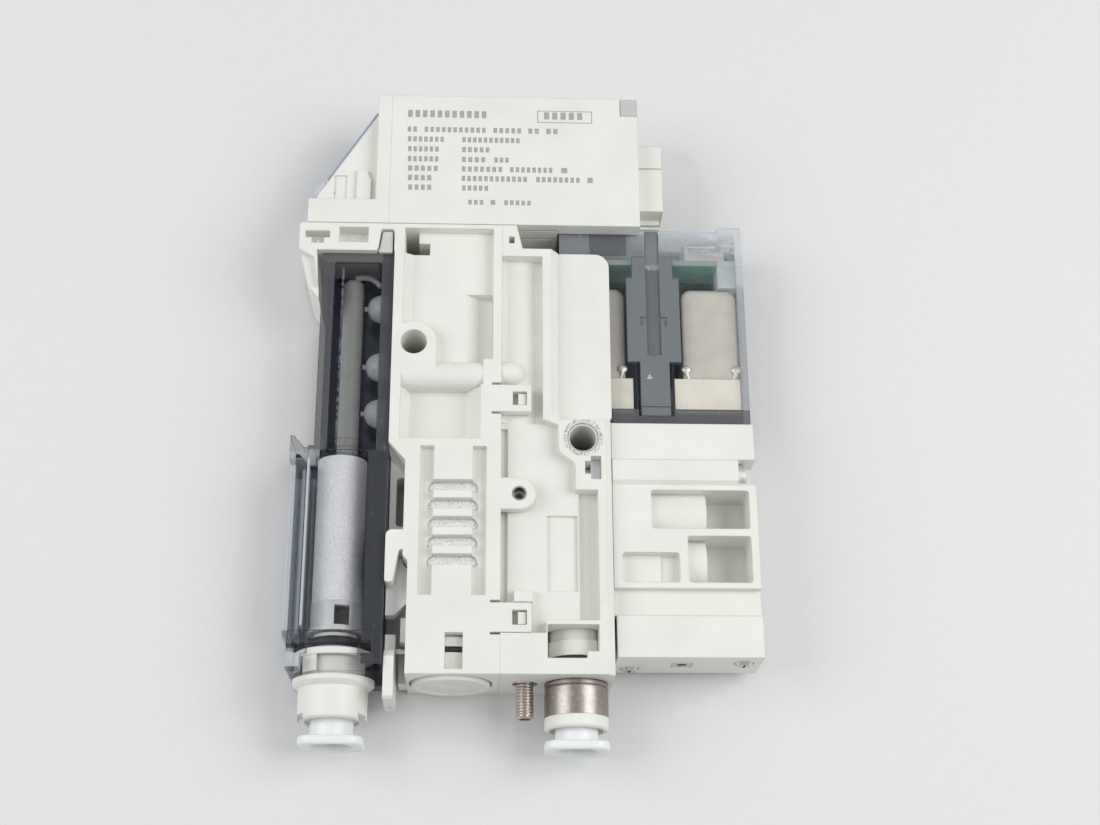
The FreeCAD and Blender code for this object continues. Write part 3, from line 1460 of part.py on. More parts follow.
# Pilot cover and the pilots
def spine_outline(gap):
    """Plan of the dark spine: a neck, a wide part and the sprung tongue."""
    return [
        (SPINE_X - SPINE_HALF - gap, SPINE_BOTTOM - gap),
        (SPINE_X - SPINE_HALF - gap, SPINE_SHOULDER + gap),
        (SPINE_X - SPINE_NECK_HALF - gap, SPINE_SHOULDER + gap),
        (SPINE_X - SPINE_NECK_HALF - gap, SPINE_TOP + gap),
        (SPINE_X - STRAP_HALF - gap, SPINE_TOP + gap),
        (SPINE_X - STRAP_HALF - gap, COVER_Y1 + PAST),
        (SPINE_X + STRAP_HALF + gap, COVER_Y1 + PAST),
        (SPINE_X + STRAP_HALF + gap, SPINE_TOP + gap),
        (SPINE_X + SPINE_NECK_HALF + gap, SPINE_TOP + gap),
        (SPINE_X + SPINE_NECK_HALF + gap, SPINE_SHOULDER + gap),
        (SPINE_X + SPINE_HALF + gap, SPINE_SHOULDER + gap),
        (SPINE_X + SPINE_HALF + gap, SPINE_BOTTOM - gap),
    ]


def pilot_cover():
    outer = rounded_box(COVER_X0, COVER_X1, COVER_Y0, COVER_Y1, COVER_Z0, COVER_Z1, 0.3)
    hollow = box(
        COVER_X0 + COVER_WALL,
        COVER_X1 - COVER_WALL,
        COVER_Y0 - PAST,
        COVER_Y1 - COVER_WALL,
        COVER_Z0 + COVER_WALL,
        COVER_Z1 - COVER_SKIN,
    )
    base = box(5.2, COVER_X1 - 0.1, COVER_Y0, 6.3, COVER_Z1 - COVER_SKIN, COVER_Z1 + 0.4)
    lip = box(24.4, COVER_X1, COVER_Y1 - 0.5, COVER_Y1 + 0.9, COVER_Z1 - 2.0, COVER_Z1)
    patch = slab(
        [
            (1.9, 40.2),
            (1.9, 36.9),
            (3.0, 35.3),
            (7.1, 35.3),
            (8.2, 36.9),
            (8.2, 40.2),
        ],
        COVER_Z1 - 0.2,
        COVER_Z1 + 0.15,
    )
    spine_seat = slab(spine_outline(RUN), COVER_Z1 - COVER_SKIN - 0.5, COVER_Z1 + PAST)
    tongue_seat = box(
        SPINE_X - TONGUE_HALF - 0.5,
        SPINE_X + TONGUE_HALF + 0.5,
        TONGUE_BOTTOM - 0.2,
        SPINE_BOTTOM + PAST,
        COVER_Z1 - COVER_SKIN - 0.5,
        COVER_Z1 + PAST,
    )
    plug_window = box(
        SHELL_X0 + SHELL_WALL,
        SHELL_X1 - SHELL_WALL,
        COVER_Y1 - COVER_WALL - PAST,
        COVER_Y1 + PAST,
        SHELL_MOUTH_Z0,
        SHELL_MOUTH_Z1,
    )
    return without(joined(outer, base, lip, patch), hollow, spine_seat, tongue_seat, plug_window)


def pilot_cover_latch():
    z0 = COVER_Z1 - COVER_SKIN
    spine = slab(spine_outline(0), z0, COVER_Z1)
    beyond = box(COVER_X0, COVER_X1, COVER_Y1, COVER_Y1 + 5, 0, BODY_DEPTH)
    tongue = box(
        SPINE_X - TONGUE_HALF, SPINE_X + TONGUE_HALF, TONGUE_BOTTOM, SPINE_BOTTOM + PAST, z0, COVER_Z1
    )
    catch = box(SPINE_X - TONGUE_HALF, SPINE_X + TONGUE_HALF, 6.9, 7.3, z0, COVER_Z1 + 0.25)
    strap_groove = box(
        SPINE_X - STRAP_HALF,
        SPINE_X + STRAP_HALF,
        SPINE_BOTTOM + 1.3,
        COVER_Y1 + PAST,
        COVER_Z1 - 0.3,
        BODY_DEPTH,
    )
    cross = box(SPINE_X - 2.3, SPINE_X + 2.3, 23.0, 23.6, COVER_Z1 - 0.2, BODY_DEPTH)
    left_arm = box(SPINE_X - 2.3, SPINE_X - 1.8, 22.0, 23.6, COVER_Z1 - 0.2, BODY_DEPTH)
    right_arm = box(SPINE_X + 1.8, SPINE_X + 2.3, 22.0, 23.6, COVER_Z1 - 0.2, BODY_DEPTH)
    return without(joined(spine, tongue, catch), beyond, strap_groove, cross, left_arm, right_arm)


def pilot_coil(x1):
    z0 = COVER_Z0 + COVER_WALL + 0.2
    z1 = COVER_Z1 - COVER_SKIN - 1.1
    x0 = x1 - COIL_WIDTH
    can = slab(
        [
            (x0, COIL_BOTTOM, 0.3),
            (x1, COIL_BOTTOM, 0.3),
            (x1, COIL_TOP, COIL_R),
            (x0, COIL_TOP, COIL_R),
        ],
        z0,
        z1,
    )
    return can


def coil_bobbins():
    z0 = COVER_Z0 + COVER_WALL + 0.1
    z1 = COVER_Z1 - COVER_SKIN - 0.2
    bobbins = []
    for x0, x1 in (
        (COIL_RIGHT_X1 - BOBBIN_WIDTH, COIL_RIGHT_X1),
        (COVER_X0 + COVER_WALL + 0.2, COVER_X0 + COVER_WALL + 0.2 + BOBBIN_WIDTH),
    ):
        base = box(x0, x1, BLOCK_TOP, BOBBIN_TOP, z0, z1)
        waist = box(x0 - PAST, x1 + PAST, BLOCK_TOP + 3.0, BLOCK_TOP + 3.6, z1 - 0.5, z1 + PAST)
        bobbins.append(base.cut(waist))
    return Part.makeCompound(bobbins)


def coil_leads():
    leads = []
    z = COVER_Z1 - COVER_SKIN - 0.6
    for x in (
        COIL_RIGHT_X1 - COIL_WIDTH + 0.9,
        COIL_RIGHT_X1 - 0.9,
        COIL_LEFT_X1 - 0.9,
        COIL_LEFT_X1 - COIL_WIDTH + 0.9,
    ):
        wire = rod_y(0.3, BOBBIN_TOP, 14.6, x, z)
        bead = Part.makeSphere(0.45, vec(x, 14.6, z))
        leads.append(wire.fuse(bead).removeSplitter())
    return Part.makeCompound(leads)


def pilot_board():
    z0 = COVER_Z0 + COVER_WALL + 0.2
    return box(-1.5, BOARD_X1, BOARD_Y, BOARD_Y + BOARD_THICK, z0, COVER_Z1 - COVER_SKIN - 0.2)


def plug_connector():
    """Frame for the plug, open at its mouth and at the front, on top of the board."""
    z1 = COVER_Z1 - COVER_SKIN - 0.3
    y0 = BOARD_Y + BOARD_THICK
    y1 = COVER_Y1 - COVER_WALL - 0.1
    shell = box(SHELL_X0, SHELL_X1, y0, y1, SHELL_MOUTH_Z0 - 0.8, z1)
    x0 = SHELL_X0 + SHELL_WALL
    x1 = SHELL_X1 - SHELL_WALL
    mouth = box(x0, x1, y0 + 0.9, y1 + PAST, SHELL_MOUTH_Z0, SHELL_MOUTH_Z1)
    pocket = box(x0, x1, y0 + 1.6, y1 - 0.7, SHELL_MOUTH_Z1 - PAST, COVER_Z1)
    pitch = 1.9
    middle = (SHELL_X0 + SHELL_X1) / 2
    pins = [rod_y(0.3, y0 + 0.5, y1 - 0.6, middle + (i - 1) * pitch, MID_Z) for i in range(3)]
    return joined(without(shell, mouth, pocket), *pins)


def indicator_lens():
    x0 = BOARD_X1 + FIT
    x1 = COVER_X1 - COVER_WALL - FIT
    return box(x0, x1, LENS_Y0, BOARD_Y + BOARD_THICK, 6.0, COVER_Z1 - COVER_SKIN - 0.2)


# Pressure switch
def switch_case():
    outer = box(SWITCH_SEAM, SWITCH_RIGHT, SWITCH_BOTTOM, SWITCH_TOP, SWITCH_Z0, BODY_DEPTH)
    hollow = box(
        SWITCH_SEAM - PAST,
        SWITCH_RIGHT - SWITCH_WALL,
        SWITCH_BOTTOM + SWITCH_FOOT,
        SWITCH_TOP - SWITCH_WALL,
        SWITCH_Z0 + SWITCH_WALL,
        BODY_DEPTH - SWITCH_WALL,
    )
    cover_relief = box(
        COVER_X0 - AIR,
        SWITCH_RIGHT + PAST,
        SWITCH_BOTTOM - PAST,
        COVER_Y1 + AIR,
        SWITCH_Z0 - PAST,
        COVER_Z1 + 0.4,
    )
    corner = box(
        INSERT_X0,
        SWITCH_RIGHT + PAST,
        INSERT_Y0,
        SWITCH_TOP + PAST,
        BODY_DEPTH - INSERT_SEAT,
        BODY_DEPTH + PAST,
    )
    window = box(
        SWITCH_RIGHT - 3.0,
        SWITCH_RIGHT + PAST,
        PLUG_Y0 - FIT,
        PLUG_Y1 + FIT,
        PLUG_Z0 - FIT,
        PLUG_Z1 + FIT,
    )
    shell = without(outer, hollow, corner, window, cover_relief)
    rib_y = (SWITCH_BOTTOM + SWITCH_FOOT, SWITCH_TOP - SWITCH_WALL)
    board_ribs = [
        box(x, x + 1.5, *rib_y, SWITCH_Z0 + 0.5, SWITCH_BOARD_Z)
        for x in (-20.0, 0.0)
    ]
    foot_grooves = [
        box(RIM_LEFT - 4.0, COVER_X0 - AIR, SWITCH_BOTTOM - PAST, SWITCH_BOTTOM + 0.6, z, z + 0.5)
        for z in (9.5, 12.6)
    ]
    return joined(shell, *board_ribs).cut(foot_grooves)


def corner_insert():
    return box(
        INSERT_X0 + FIT,
        SWITCH_RIGHT,
        INSERT_Y0 + FIT,
        SWITCH_TOP,
        BODY_DEPTH - INSERT_SEAT,
        BODY_DEPTH - 0.1,
    )


def slant_frame():
    """Start, direction and outward normal of the slanted display face."""
    length = math.hypot(SLANT_X1 - SLANT_X0, SLANT_Y1 - SLANT_Y0)
    along = vec((SLANT_X1 - SLANT_X0) / length, (SLANT_Y1 - SLANT_Y0) / length, 0)
    outward = vec(-along.y, along.x, 0)
    return vec(SLANT_X0, SLANT_Y0, 0), along, outward, length


def slant_box(s0, s1, out0, out1, z0, z1):
    """Block set on the slanted face: s runs up the slant, out stands off it."""
    start, along, outward, _ = slant_frame()
    places = ((s0, out0), (s1, out0), (s1, out1), (s0, out1))
    corners = [start + along * s + outward * o for s, o in places]
    wire = Part.makePolygon([vec(c.x, c.y, z0) for c in corners + corners[:1]])
    return Part.Face(wire).extrude(vec(0, 0, z1 - z0))


def slant_rod(radius, s, out0, out1, z):
    start, along, outward, _ = slant_frame()
    base = start + along * s + outward * out0
    return Part.makeCylinder(radius, out1 - out0, vec(base.x, base.y, z), outward)


def display_housing():
    _, _, _, length = slant_frame()
    cap = box(HOUSING_X, SWITCH_SEAM, SWITCH_BOTTOM, SWITCH_TOP, SWITCH_Z0, BODY_DEPTH)
    shelf = box(SHELF_LEFT, HOUSING_X, SWITCH_BOTTOM, SHELF_TOP, SWITCH_Z0, BODY_DEPTH)
    gusset = slab(
        [
            (SLANT_X0 - 0.6, SHELF_TOP - 0.5),
            (HOUSING_X + 0.5, SHELF_TOP - 0.5),
            (HOUSING_X + 0.5, SLANT_Y1),
            (SLANT_X1, SLANT_Y1),
            (SLANT_X0, SLANT_Y0),
        ],
        SLANT_Z0,
        SLANT_Z1,
    )
    pad = slab(
        [
            (-39.1, 44.5),
            (-36.6, 44.5),
            (-36.6, 48.5),
            (-37.5, 50.5),
            (-39.1, 50.5),
        ],
        SLANT_Z1 - 0.2,
        SLANT_Z1 + 0.6,
    )
    mark = box(-43.0, -40.9, 45.0, 49.6, SLANT_Z1 - 0.25, SLANT_Z1 + PAST)
    glass_seat = slant_box(BUTTON_AT + 2.2, length - 0.5, -1.5, PAST, SLANT_Z0 + 0.9, SLANT_Z1 - 0.9)
    plug_y = (SWITCH_BOTTOM + 1.0, SWITCH_TOP - 1.0)
    plug = box(HOUSING_X + 0.4, SWITCH_SEAM - 0.9, *plug_y, 1.4, BODY_DEPTH - 1.4)
    tools = [mark, glass_seat, plug]
    for z in button_heights():
        tools.append(slant_rod(BUTTON_R + RUN, BUTTON_AT, -1.9 - BUTTON_STROKE, PAST, z))
    return without(joined(cap, shelf, gusset, pad), *tools)


def button_heights():
    middle = (SLANT_Z0 + SLANT_Z1) / 2
    return [middle - BUTTON_PITCH, middle, middle + BUTTON_PITCH]


def push_button(z):
    """Domed cap on a short stem, standing on the slanted face."""
    start, along, outward, _ = slant_frame()
    stem = slant_rod(BUTTON_R, BUTTON_AT, -1.7, BUTTON_STAND, z)
    base = start + along * BUTTON_AT + outward * BUTTON_STAND
    ball_r = (BUTTON_R ** 2 + BUTTON_RISE ** 2) / (2 * BUTTON_RISE)
    centre = base - outward * (ball_r - BUTTON_RISE)
    ball = Part.makeSphere(ball_r, vec(centre.x, centre.y, z))
    dome_top = BUTTON_STAND + BUTTON_RISE + PAST
    dome = ball.common(slant_rod(BUTTON_R, BUTTON_AT, BUTTON_STAND - 0.1, dome_top, z))
    return joined(stem, dome)


def lcd_panel():
    _, _, _, length = slant_frame()
    return slant_box(BUTTON_AT + 2.3, length - 0.6, -1.5, -0.2, SLANT_Z0 + 1.0, SLANT_Z1 - 1.0)


def display_window():
    _, _, _, length = slant_frame()
    return slant_box(BUTTON_AT + 1.9, length, 0.0, 0.4, SLANT_Z0, SLANT_Z1)


def switch_board():
    return box(
        SWITCH_SEAM + 1.7,
        SWITCH_RIGHT - 3.5,
        SWITCH_BOTTOM + SWITCH_FOOT + AIR,
        SWITCH_TOP - SWITCH_WALL - 1.0,
        SWITCH_BOARD_Z,
        SWITCH_BOARD_Z + SWITCH_BOARD_THICK,
    )


def pressure_sensor():
    foot = SWITCH_BOARD_Z + SWITCH_BOARD_THICK
    body = rod_z(SENSOR_R, foot, foot + 2.8, SENSOR_X, SENSOR_Y)
    port = rod_z(1.4, foot + 2.8, foot + 5.3, SENSOR_X, SENSOR_Y)
    return joined(body, port).cut(rod_z(0.7, foot + 1.3, foot + 5.3 + PAST, SENSOR_X, SENSOR_Y))


def cable_connector():
    shell = box(8.0, PLUG_X1, PLUG_Y0, PLUG_Y1, PLUG_Z0, PLUG_Z1)
    mouth = box(9.5, PLUG_X1 + PAST, PLUG_Y0 + 1.2, PLUG_Y1 - 1.2, PLUG_Z0 + 1.3, PLUG_Z1 - 1.3)
    foot = box(SWITCH_RIGHT, PLUG_X1 - 0.4, PLUG_Y0 - 3.0, PLUG_Y0 + 0.3, PLUG_Z0 - 1.0, MID_Z + 1.5)
    grooves = [
        box(SWITCH_RIGHT - PAST, PLUG_X1, y, y + 0.4, 8.3, 10.0) for y in (PLUG_Y0 - 2.3, PLUG_Y0 - 1.4)
    ]
    line = box(SWITCH_RIGHT, PLUG_X1 + PAST, 52.2, 52.5, PLUG_Z1 - 0.3, PLUG_Z1 + PAST)
    tools = [mouth, line] + grooves
    for i in range(PIN_COUNT):
        tools.append(connector_pin(i))
    return without(joined(shell, foot), *tools)


def connector_pin(i):
    y = (PLUG_Y0 + PLUG_Y1) / 2 + (i - (PIN_COUNT - 1) / 2) * PIN_PITCH
    return box(8.0, PLUG_X1 - 1.3, y - 0.25, y + 0.25, PLUG_Z0 + 2.3, PLUG_Z0 + 2.8)


def connector_pins():
    return Part.makeCompound([connector_pin(i) for i in range(PIN_COUNT)])


PIECES = {
    "ejector_body": ejector_body,
    "seam_eyelet": seam_eyelet,
    "nozzle": nozzle,
    "diffuser": diffuser,
    "silencer_element": silencer_element,
    "silencer_cap": silencer_cap,
    "cap_seal": cap_seal,
    "valve_body": valve_body,
    "needle_bush": needle_bush,
    "release_needle": release_needle,
    "supply_fitting_body": supply_fitting_body,
    "supply_fitting_seal": supply_fitting_seal,
    "supply_port_sleeve": supply_port_sleeve,
    "supply_port_collar": supply_port_collar,
    "supply_port_button": lambda: release_button(SUPPLY_X, SUPPLY_MOUTH),
    "port_adapter": port_adapter,
    "adapter_seal": adapter_seal,
    "vacuum_port_button": lambda: release_button(VACUUM_X, VACUUM_MOUTH),
    "grip_rings": grip_rings,
    "tube_seals": tube_seals,
    "filter_case": filter_case,
    "filter_element": filter_element,
    "filter_holder": filter_holder,
    "passage_tube": passage_tube,
    "check_valves": check_valves,
    "case_catch": case_catch,
    "lock_lever": lock_lever,
    "lever_pin": lever_pin,
    "latch_plate": latch_plate,
    "valve_gasket": valve_gasket,
    "pilot_valve_block": pilot_valve_block,
    "valve_end_cover": valve_end_cover,
    "end_cover_screws": end_cover_screws,
    "square_nut": square_nut,
    "tie_screw": tie_screw,
    "tie_screw_nut": tie_screw_nut,
    "supply_valve_spool": lambda: valve_spool(SUPPLY_SPOOL_Y),
    "release_valve_spool": lambda: valve_spool(RELEASE_SPOOL_Y),
    "spool_springs": spool_springs,
    "pilot_cover": pilot_cover,
    "pilot_cover_latch": pilot_cover_latch,
    "pilot_coil_left": lambda: pilot_coil(COIL_LEFT_X1),
    "pilot_coil_right": lambda: pilot_coil(COIL_RIGHT_X1),
    "coil_bobbins": coil_bobbins,
    "coil_leads": coil_leads,
    "pilot_board": pilot_board,
    "plug_connector": plug_connector,
    "indicator_lens": indicator_lens,
    "switch_case": switch_case,
    "corner_insert": corner_insert,
    "display_housing": display_housing,
    "display_window": display_window,
    "lcd_panel": lcd_panel,
    "up_button": lambda: push_button(button_heights()[2]),
    "set_button": lambda: push_button(button_heights()[1]),
    "down_button": lambda: push_button(button_heights()[0]),
    "switch_board": switch_board,
    "pressure_sensor": pressure_sensor,
    "cable_connector": cable_connector,
    "connector_pins": connector_pins,
}


def main():
    os.makedirs("parts", exist_ok=True)
    for name, make in PIECES.items():
        make().exportStep("parts/" + name + ".step")


main()
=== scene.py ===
import math

import bmesh
import bpy
from mathutils import Matrix, Vector


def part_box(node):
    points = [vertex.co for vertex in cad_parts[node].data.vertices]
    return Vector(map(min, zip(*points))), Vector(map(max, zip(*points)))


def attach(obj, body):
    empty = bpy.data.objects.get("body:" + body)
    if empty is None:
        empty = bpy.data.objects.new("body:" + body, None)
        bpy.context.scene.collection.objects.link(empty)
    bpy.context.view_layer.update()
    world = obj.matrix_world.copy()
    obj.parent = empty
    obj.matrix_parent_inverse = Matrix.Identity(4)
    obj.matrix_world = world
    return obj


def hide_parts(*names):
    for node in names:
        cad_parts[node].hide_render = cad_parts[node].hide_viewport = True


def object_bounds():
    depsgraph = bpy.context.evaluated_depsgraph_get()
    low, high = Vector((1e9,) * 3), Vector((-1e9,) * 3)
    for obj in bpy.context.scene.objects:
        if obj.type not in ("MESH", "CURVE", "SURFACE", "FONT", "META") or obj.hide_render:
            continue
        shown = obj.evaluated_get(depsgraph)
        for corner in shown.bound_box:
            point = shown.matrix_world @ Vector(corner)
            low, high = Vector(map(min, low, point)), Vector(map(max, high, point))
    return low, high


bl_info = {
    "name": "Vacuum ejector unit",
    "version": (1, 0, 0),
    "blender": (4, 5, 0),
    "location": "View3D > Sidebar > Ejector",
    "description": "Finishes and small details for a slim vacuum ejector unit",
    "category": "Object",
}

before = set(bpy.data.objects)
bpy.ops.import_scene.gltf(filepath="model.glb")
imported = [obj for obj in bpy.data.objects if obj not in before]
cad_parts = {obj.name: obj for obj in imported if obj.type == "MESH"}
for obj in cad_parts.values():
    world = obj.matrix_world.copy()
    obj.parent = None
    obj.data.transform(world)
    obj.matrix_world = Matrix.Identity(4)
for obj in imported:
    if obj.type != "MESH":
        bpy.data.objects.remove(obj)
CAD_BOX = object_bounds()

MM = 0.001
UNIT = "unit"
FRONT_Z = 15.0
SHARP = math.radians(40)

# Steps between fields of the filter case in millimetres: where each starts and where it is full
CASE_FRONT = (12.4, 13.5)
CASE_SHOULDER = (-2.4, -2.1)
# Bands of the border, painted lighter at the top and left, and the lower right field, painted as shade
CASE_TOP_BAND = (32.15, 32.3)
CASE_RIGHT_BAND = (-34.15, -34.05)
CASE_LEFT_BAND = (-42.3, -42.15)
CASE_LOWER_RIGHT = (-35.4, -35.2)
CASE_COLLAR = (-38.2, -38.0)
# Below this height the case's back wall is painted as shade, nearly solid
CASE_BACK_WALL = 3.2
# Fin and tab, where painted sheen lies, and the painted glint down the window
FIN_ROOT = (-44.9, -44.6)
FIN_FOOT = (-32.2, -31.6)
FIN_HEAD = (-4.0, -3.0)
TAB_ROOT = (-44.8, -44.6)
TAB_FOOT = (-38.7, -38.5)
TAB_HEAD = (-36.3, -36.1)
GLINT_X = -40.75
GLINT_FOOT = (-2.0, -1.5)
GLINT_HEAD = (31.0, 31.5)

# The same for the pilot cover and its spine; the cover's walls count inwards from its outer faces
COVER_FRONT = (10.6, 10.9)
COVER_FOOT = (6.25, 6.35)
COVER_CORNER_X = (9.05, 9.15)
COVER_CORNER_Y = (35.0, 35.1)
# Below this height the cover's back wall is painted as shade, nearly solid
COVER_BACK_WALL = 3.0
COVER_WALL = (1.3, 1.2)
PATCH_LEFT = (1.8, 1.9)
PATCH_RIGHT = (8.2, 8.3)
PATCH_FOOT = (35.25, 35.35)
# Where painted sheen lies over the cover and where its streaks run; it also lies along the walls measured
# above
SHEEN_FOOT = (28.5, 30.5)
SHEEN_STEP = (33.3, 34.1)
SHEEN_HEAD = (34.6, 39.0)
SHEEN_RIGHT = (23.0, 24.0)
LINES_FOOT = (29.0, 36.0)
LINES_RIGHT = (14.0, 24.0)
STRAP_HALF = 1.22
STRAP_FOOT = (16.2, 16.3)
# Painted glint and painted sheen on the strap
STRAP_GLINT = (32.7, 32.9)
STRAP_SHEEN = (33.6, 33.8)

# Hollow triangle on the spine: its middle, then foot, tip and slope of its two outlines
MARK_X = 11.75
MARK_OUTER = (12.05, 12.95, 0.55)
MARK_INNER = (12.25, 12.7, 0.5)

# Lower mounting hole's scuffs, and the face of the pilot board
SCUFF_INNER_R = 2.5
SCUFF_OUTER_R = 3.05
HOLE_EDGE = (2.2, 2.3)
BOARD_FACE = (10.42, 10.48)

# Border of the display's glass field, side to side and foot to head, in millimetres
GLASS_SIDE = 2.3
GLASS_HEAD = 1.9

# Adjusting screw in millimetres, with its thread in rows of vertices
THREAD_SIDES = 40
THREAD_STEPS = 10
THREAD_DEPTH = 0.27
THREAD_START = 0.3
POINT_LENGTH = 2.6

# Release buttons in millimetres
BUTTON_SIDES = 128
RIM_THICKNESS = 1.5
BORE_RADIUS = 3.2
NECK_RADIUS = 3.45
BEAD_RADIUS = 3.9

# Coil leads in millimetres
LEAD_STEPS = 12
LEAD_INSET = 0.5
LEAD_LEAN = 0.7
LEAD_FOOT = 12.3
LEAD_LENGTH = 2.2
SOLDER_Y = 14.6
SOLDER_SIZE = (0.92, 0.85, 0.55)

# Print bars in millimetres: how deep they stand in the face and how far out
PRINT_DEPTH = 0.05
PRINT_HEIGHT = 0.012
PRINT_LINE = 0.16

# Camera and lights in metres
CAMERA_PLACE = (-0.01708, -0.09758, 0.27154)
CAMERA_FORWARD = (0.04215, 0.36873, -0.92858)
CAMERA_UP = (-0.01088, 0.92952, 0.36861)
KEY_PLACE = (0.42, 0.0, 0.46)
FILL_PLACE = (-0.48, 0.02, 0.40)
LIGHT_AIM = (-0.01, 0.01, 0.007)
LIGHT_SIDE = 0.42
FLOOR_HALF = 3.0
WORLD_COLOUR = (0.97, 0.98, 1.0, 1.0)
WORLD_STRENGTH = 0.5


# Shader expressions
class Wire:
    """An output socket that can be used in Python arithmetic."""

    def __init__(self, finish, socket):
        self.finish = finish
        self.socket = socket

    def out(self, name):
        return Wire(self.finish, self.finish.find(self.socket.node.outputs, name))

    def math(self, operation, first, second=None, clamp=False):
        values = {0: first}
        if second is not None:
            values[1] = second
        return self.finish.node("ShaderNodeMath", {"operation": operation, "use_clamp": clamp}, values)

    def __add__(self, other):
        return self.math("ADD", self, other)

    def __radd__(self, other):
        return self.math("ADD", other, self)

    def __sub__(self, other):
        return self.math("SUBTRACT", self, other)

    def __rsub__(self, other):
        return self.math("SUBTRACT", other, self)

    def __mul__(self, other):
        return self.math("MULTIPLY", self, other)

    def __abs__(self):
        return self.math("ABSOLUTE", self)

    def power(self, exponent):
        return self.math("POWER", self, exponent)

    def sine(self):
        return self.math("SINE", self)

    def clamped(self):
        return self.math("ADD", self, 0.0, clamp=True)

    def ramp(self, low, high):
        """0 below low, 1 above high and a straight rise between."""
        return ((self - low) * (1.0 / (high - low))).clamped()

    def fall(self, low, high):
        """1 below low, 0 above high and a straight fall between."""
        return 1.0 - self.ramp(low, high)


class Finish:
    """One material: its tree, its shader and the object's own coordinates in millimetres."""

    def __init__(self, name):
        self.material = bpy.data.materials.new(name)
        self.material.use_nodes = True
        self.tree = self.material.node_tree
        self.tree.nodes.clear()
        coords = self.node("ShaderNodeTexCoord").out("Object")
        values = {"Vector": coords, "Scale": 1.0 / MM}
        self.place = self.node("ShaderNodeVectorMath", {"operation": "SCALE"}, values)

    def find(self, sockets, name):
        if isinstance(name, int):
            return sockets[name]
        for socket in sockets:
            if socket.identifier == name:
                return socket
        return sockets[name]

    def node(self, kind, settings=None, values=None):
        """New node; a value is a wire or a constant, and a colour has three parts."""
        made = self.tree.nodes.new(kind)
        for key, value in (settings or {}).items():
            setattr(made, key, value)
        for key, value in (values or {}).items():
            socket = self.find(made.inputs, key)
            if isinstance(value, Wire):
                self.tree.links.new(value.socket, socket)
            elif socket.type == "RGBA":
                socket.default_value = (*value, 1.0)
            else:
                socket.default_value = value
        return Wire(self, made.outputs[0]) if made.outputs else None

    def axis(self, letter):
        parts = self.node("ShaderNodeSeparateXYZ", None, {"Vector": self.place})
        return parts.out(letter)

    def noise(self, scale, detail=2.0, roughness=0.5, place=None):
        """Noise from 0 to 1 whose scale counts cells per millimetre."""
        values = {"Vector": place or self.place, "Scale": scale, "Detail": detail, "Roughness": roughness}
        return self.node("ShaderNodeTexNoise", {"noise_dimensions": "3D"}, values)

    def cells(self, scale):
        """Distance to the nearest of a field of scattered points."""
        values = {"Vector": self.place, "Scale": scale}
        return self.node("ShaderNodeTexVoronoi", {"feature": "F1"}, values).out("Distance")

    def stretched(self, x, y, z):
        """Place with its axes scaled, so that a texture runs long one way."""
        return self.node("ShaderNodeVectorMath", {"operation": "MULTIPLY"}, {0: self.place, 1: (x, y, z)})

    def mix(self, factor, first, second):
        """Colour between first and second."""
        values = {"Factor_Float": factor, "A_Color": first, "B_Color": second}
        return self.node("ShaderNodeMix", {"data_type": "RGBA"}, values).out("Result_Color")

    def blend(self, factor, first, second):
        """Number between first and second."""
        return factor * (second - first) + first

    def rounded(self, radius):
        """Normal that runs softly over every edge nearer than radius."""
        return self.node("ShaderNodeBevel", {"samples": 4}, {"Radius": radius})

    def bump(self, height, strength, distance, normal=None):
        values = {"Height": height, "Strength": strength, "Distance": distance}
        if normal is not None:
            values["Normal"] = normal
        return self.node("ShaderNodeBump", None, values)

    def edges(self, radius):
        """1 along edges and 0 on flats."""
        soft = self.rounded(radius)
        true = self.node("ShaderNodeNewGeometry").out("True Normal")
        along = self.node("ShaderNodeVectorMath", {"operation": "DOT_PRODUCT"}, {0: soft, 1: true})
        return (1.0 - along.out("Value")).ramp(0.01, 0.2)

    def done(self, colour, roughness, **more):
        values = {"Base Color": colour, "Roughness": roughness}
        for key, value in more.items():
            values[key.replace("_", " ")] = value
        shader = self.node("ShaderNodeBsdfPrincipled", None, values)
        self.node("ShaderNodeOutputMaterial", None, {"Surface": shader})
        return self.material


def deeper(colour, share):
    """The same hue with less light."""
    return tuple(c * share for c in colour)


# Finishes
def moulded(name, colour, settings, shade=0.5, roughness=None, wear_and_shade=None):
    """Satin moulding: fine spark-eroded grain, slight cloudiness and rare dust specks."""
    f = Finish(name)
    cloud = f.noise(0.12, 3.0)
    fine = f.noise(9.0, 2.0)
    darker = deeper(colour, 0.93)
    warm = f.mix(cloud.ramp(0.3, 0.75), colour, darker)
    specks = f.noise(2.3, 3.0, 0.7).ramp(0.735, 0.78)
    dust_wear_and_shade = f.mix(specks * shade, warm, (0.33, 0.32, 0.29))
    # Darker marks from the caller: real scuffs round the boss, painted shade in the cap's seam
    if wear_and_shade:
        dust_wear_and_shade = f.mix(wear_and_shade(f), dust_wear_and_shade, (0.20, 0.20, 0.195))
    base = settings.roughness if roughness is None else roughness
    rough = f.blend(f.noise(1.1, 2.0), base - 0.06, base + 0.07)
    soft = f.rounded(settings.edge_radius)
    normal = f.bump(fine, 0.10, 0.00003, soft)
    return f.done(dust_wear_and_shade, rough, Normal=normal)


def worn_boss(f):
    """Scuffs that a screw head left round the lower mounting hole."""
    x = f.axis("X")
    y = f.axis("Y")
    radius = (x * x + y * y).power(0.5)
    marks = f.noise(4.5, 3.0, 0.7)
    inner = (0.16 - abs(radius - SCUFF_INNER_R)).ramp(0.0, 0.1) * marks.ramp(0.38, 0.48) * 0.85
    outer = (0.36 - abs(radius - SCUFF_OUTER_R)).ramp(0.0, 0.2) * marks.ramp(0.47, 0.57) * 0.85
    bore = radius.fall(*HOLE_EDGE) * marks.ramp(0.35, 0.7) * 0.6
    return (inner + outer + bore).clamped()


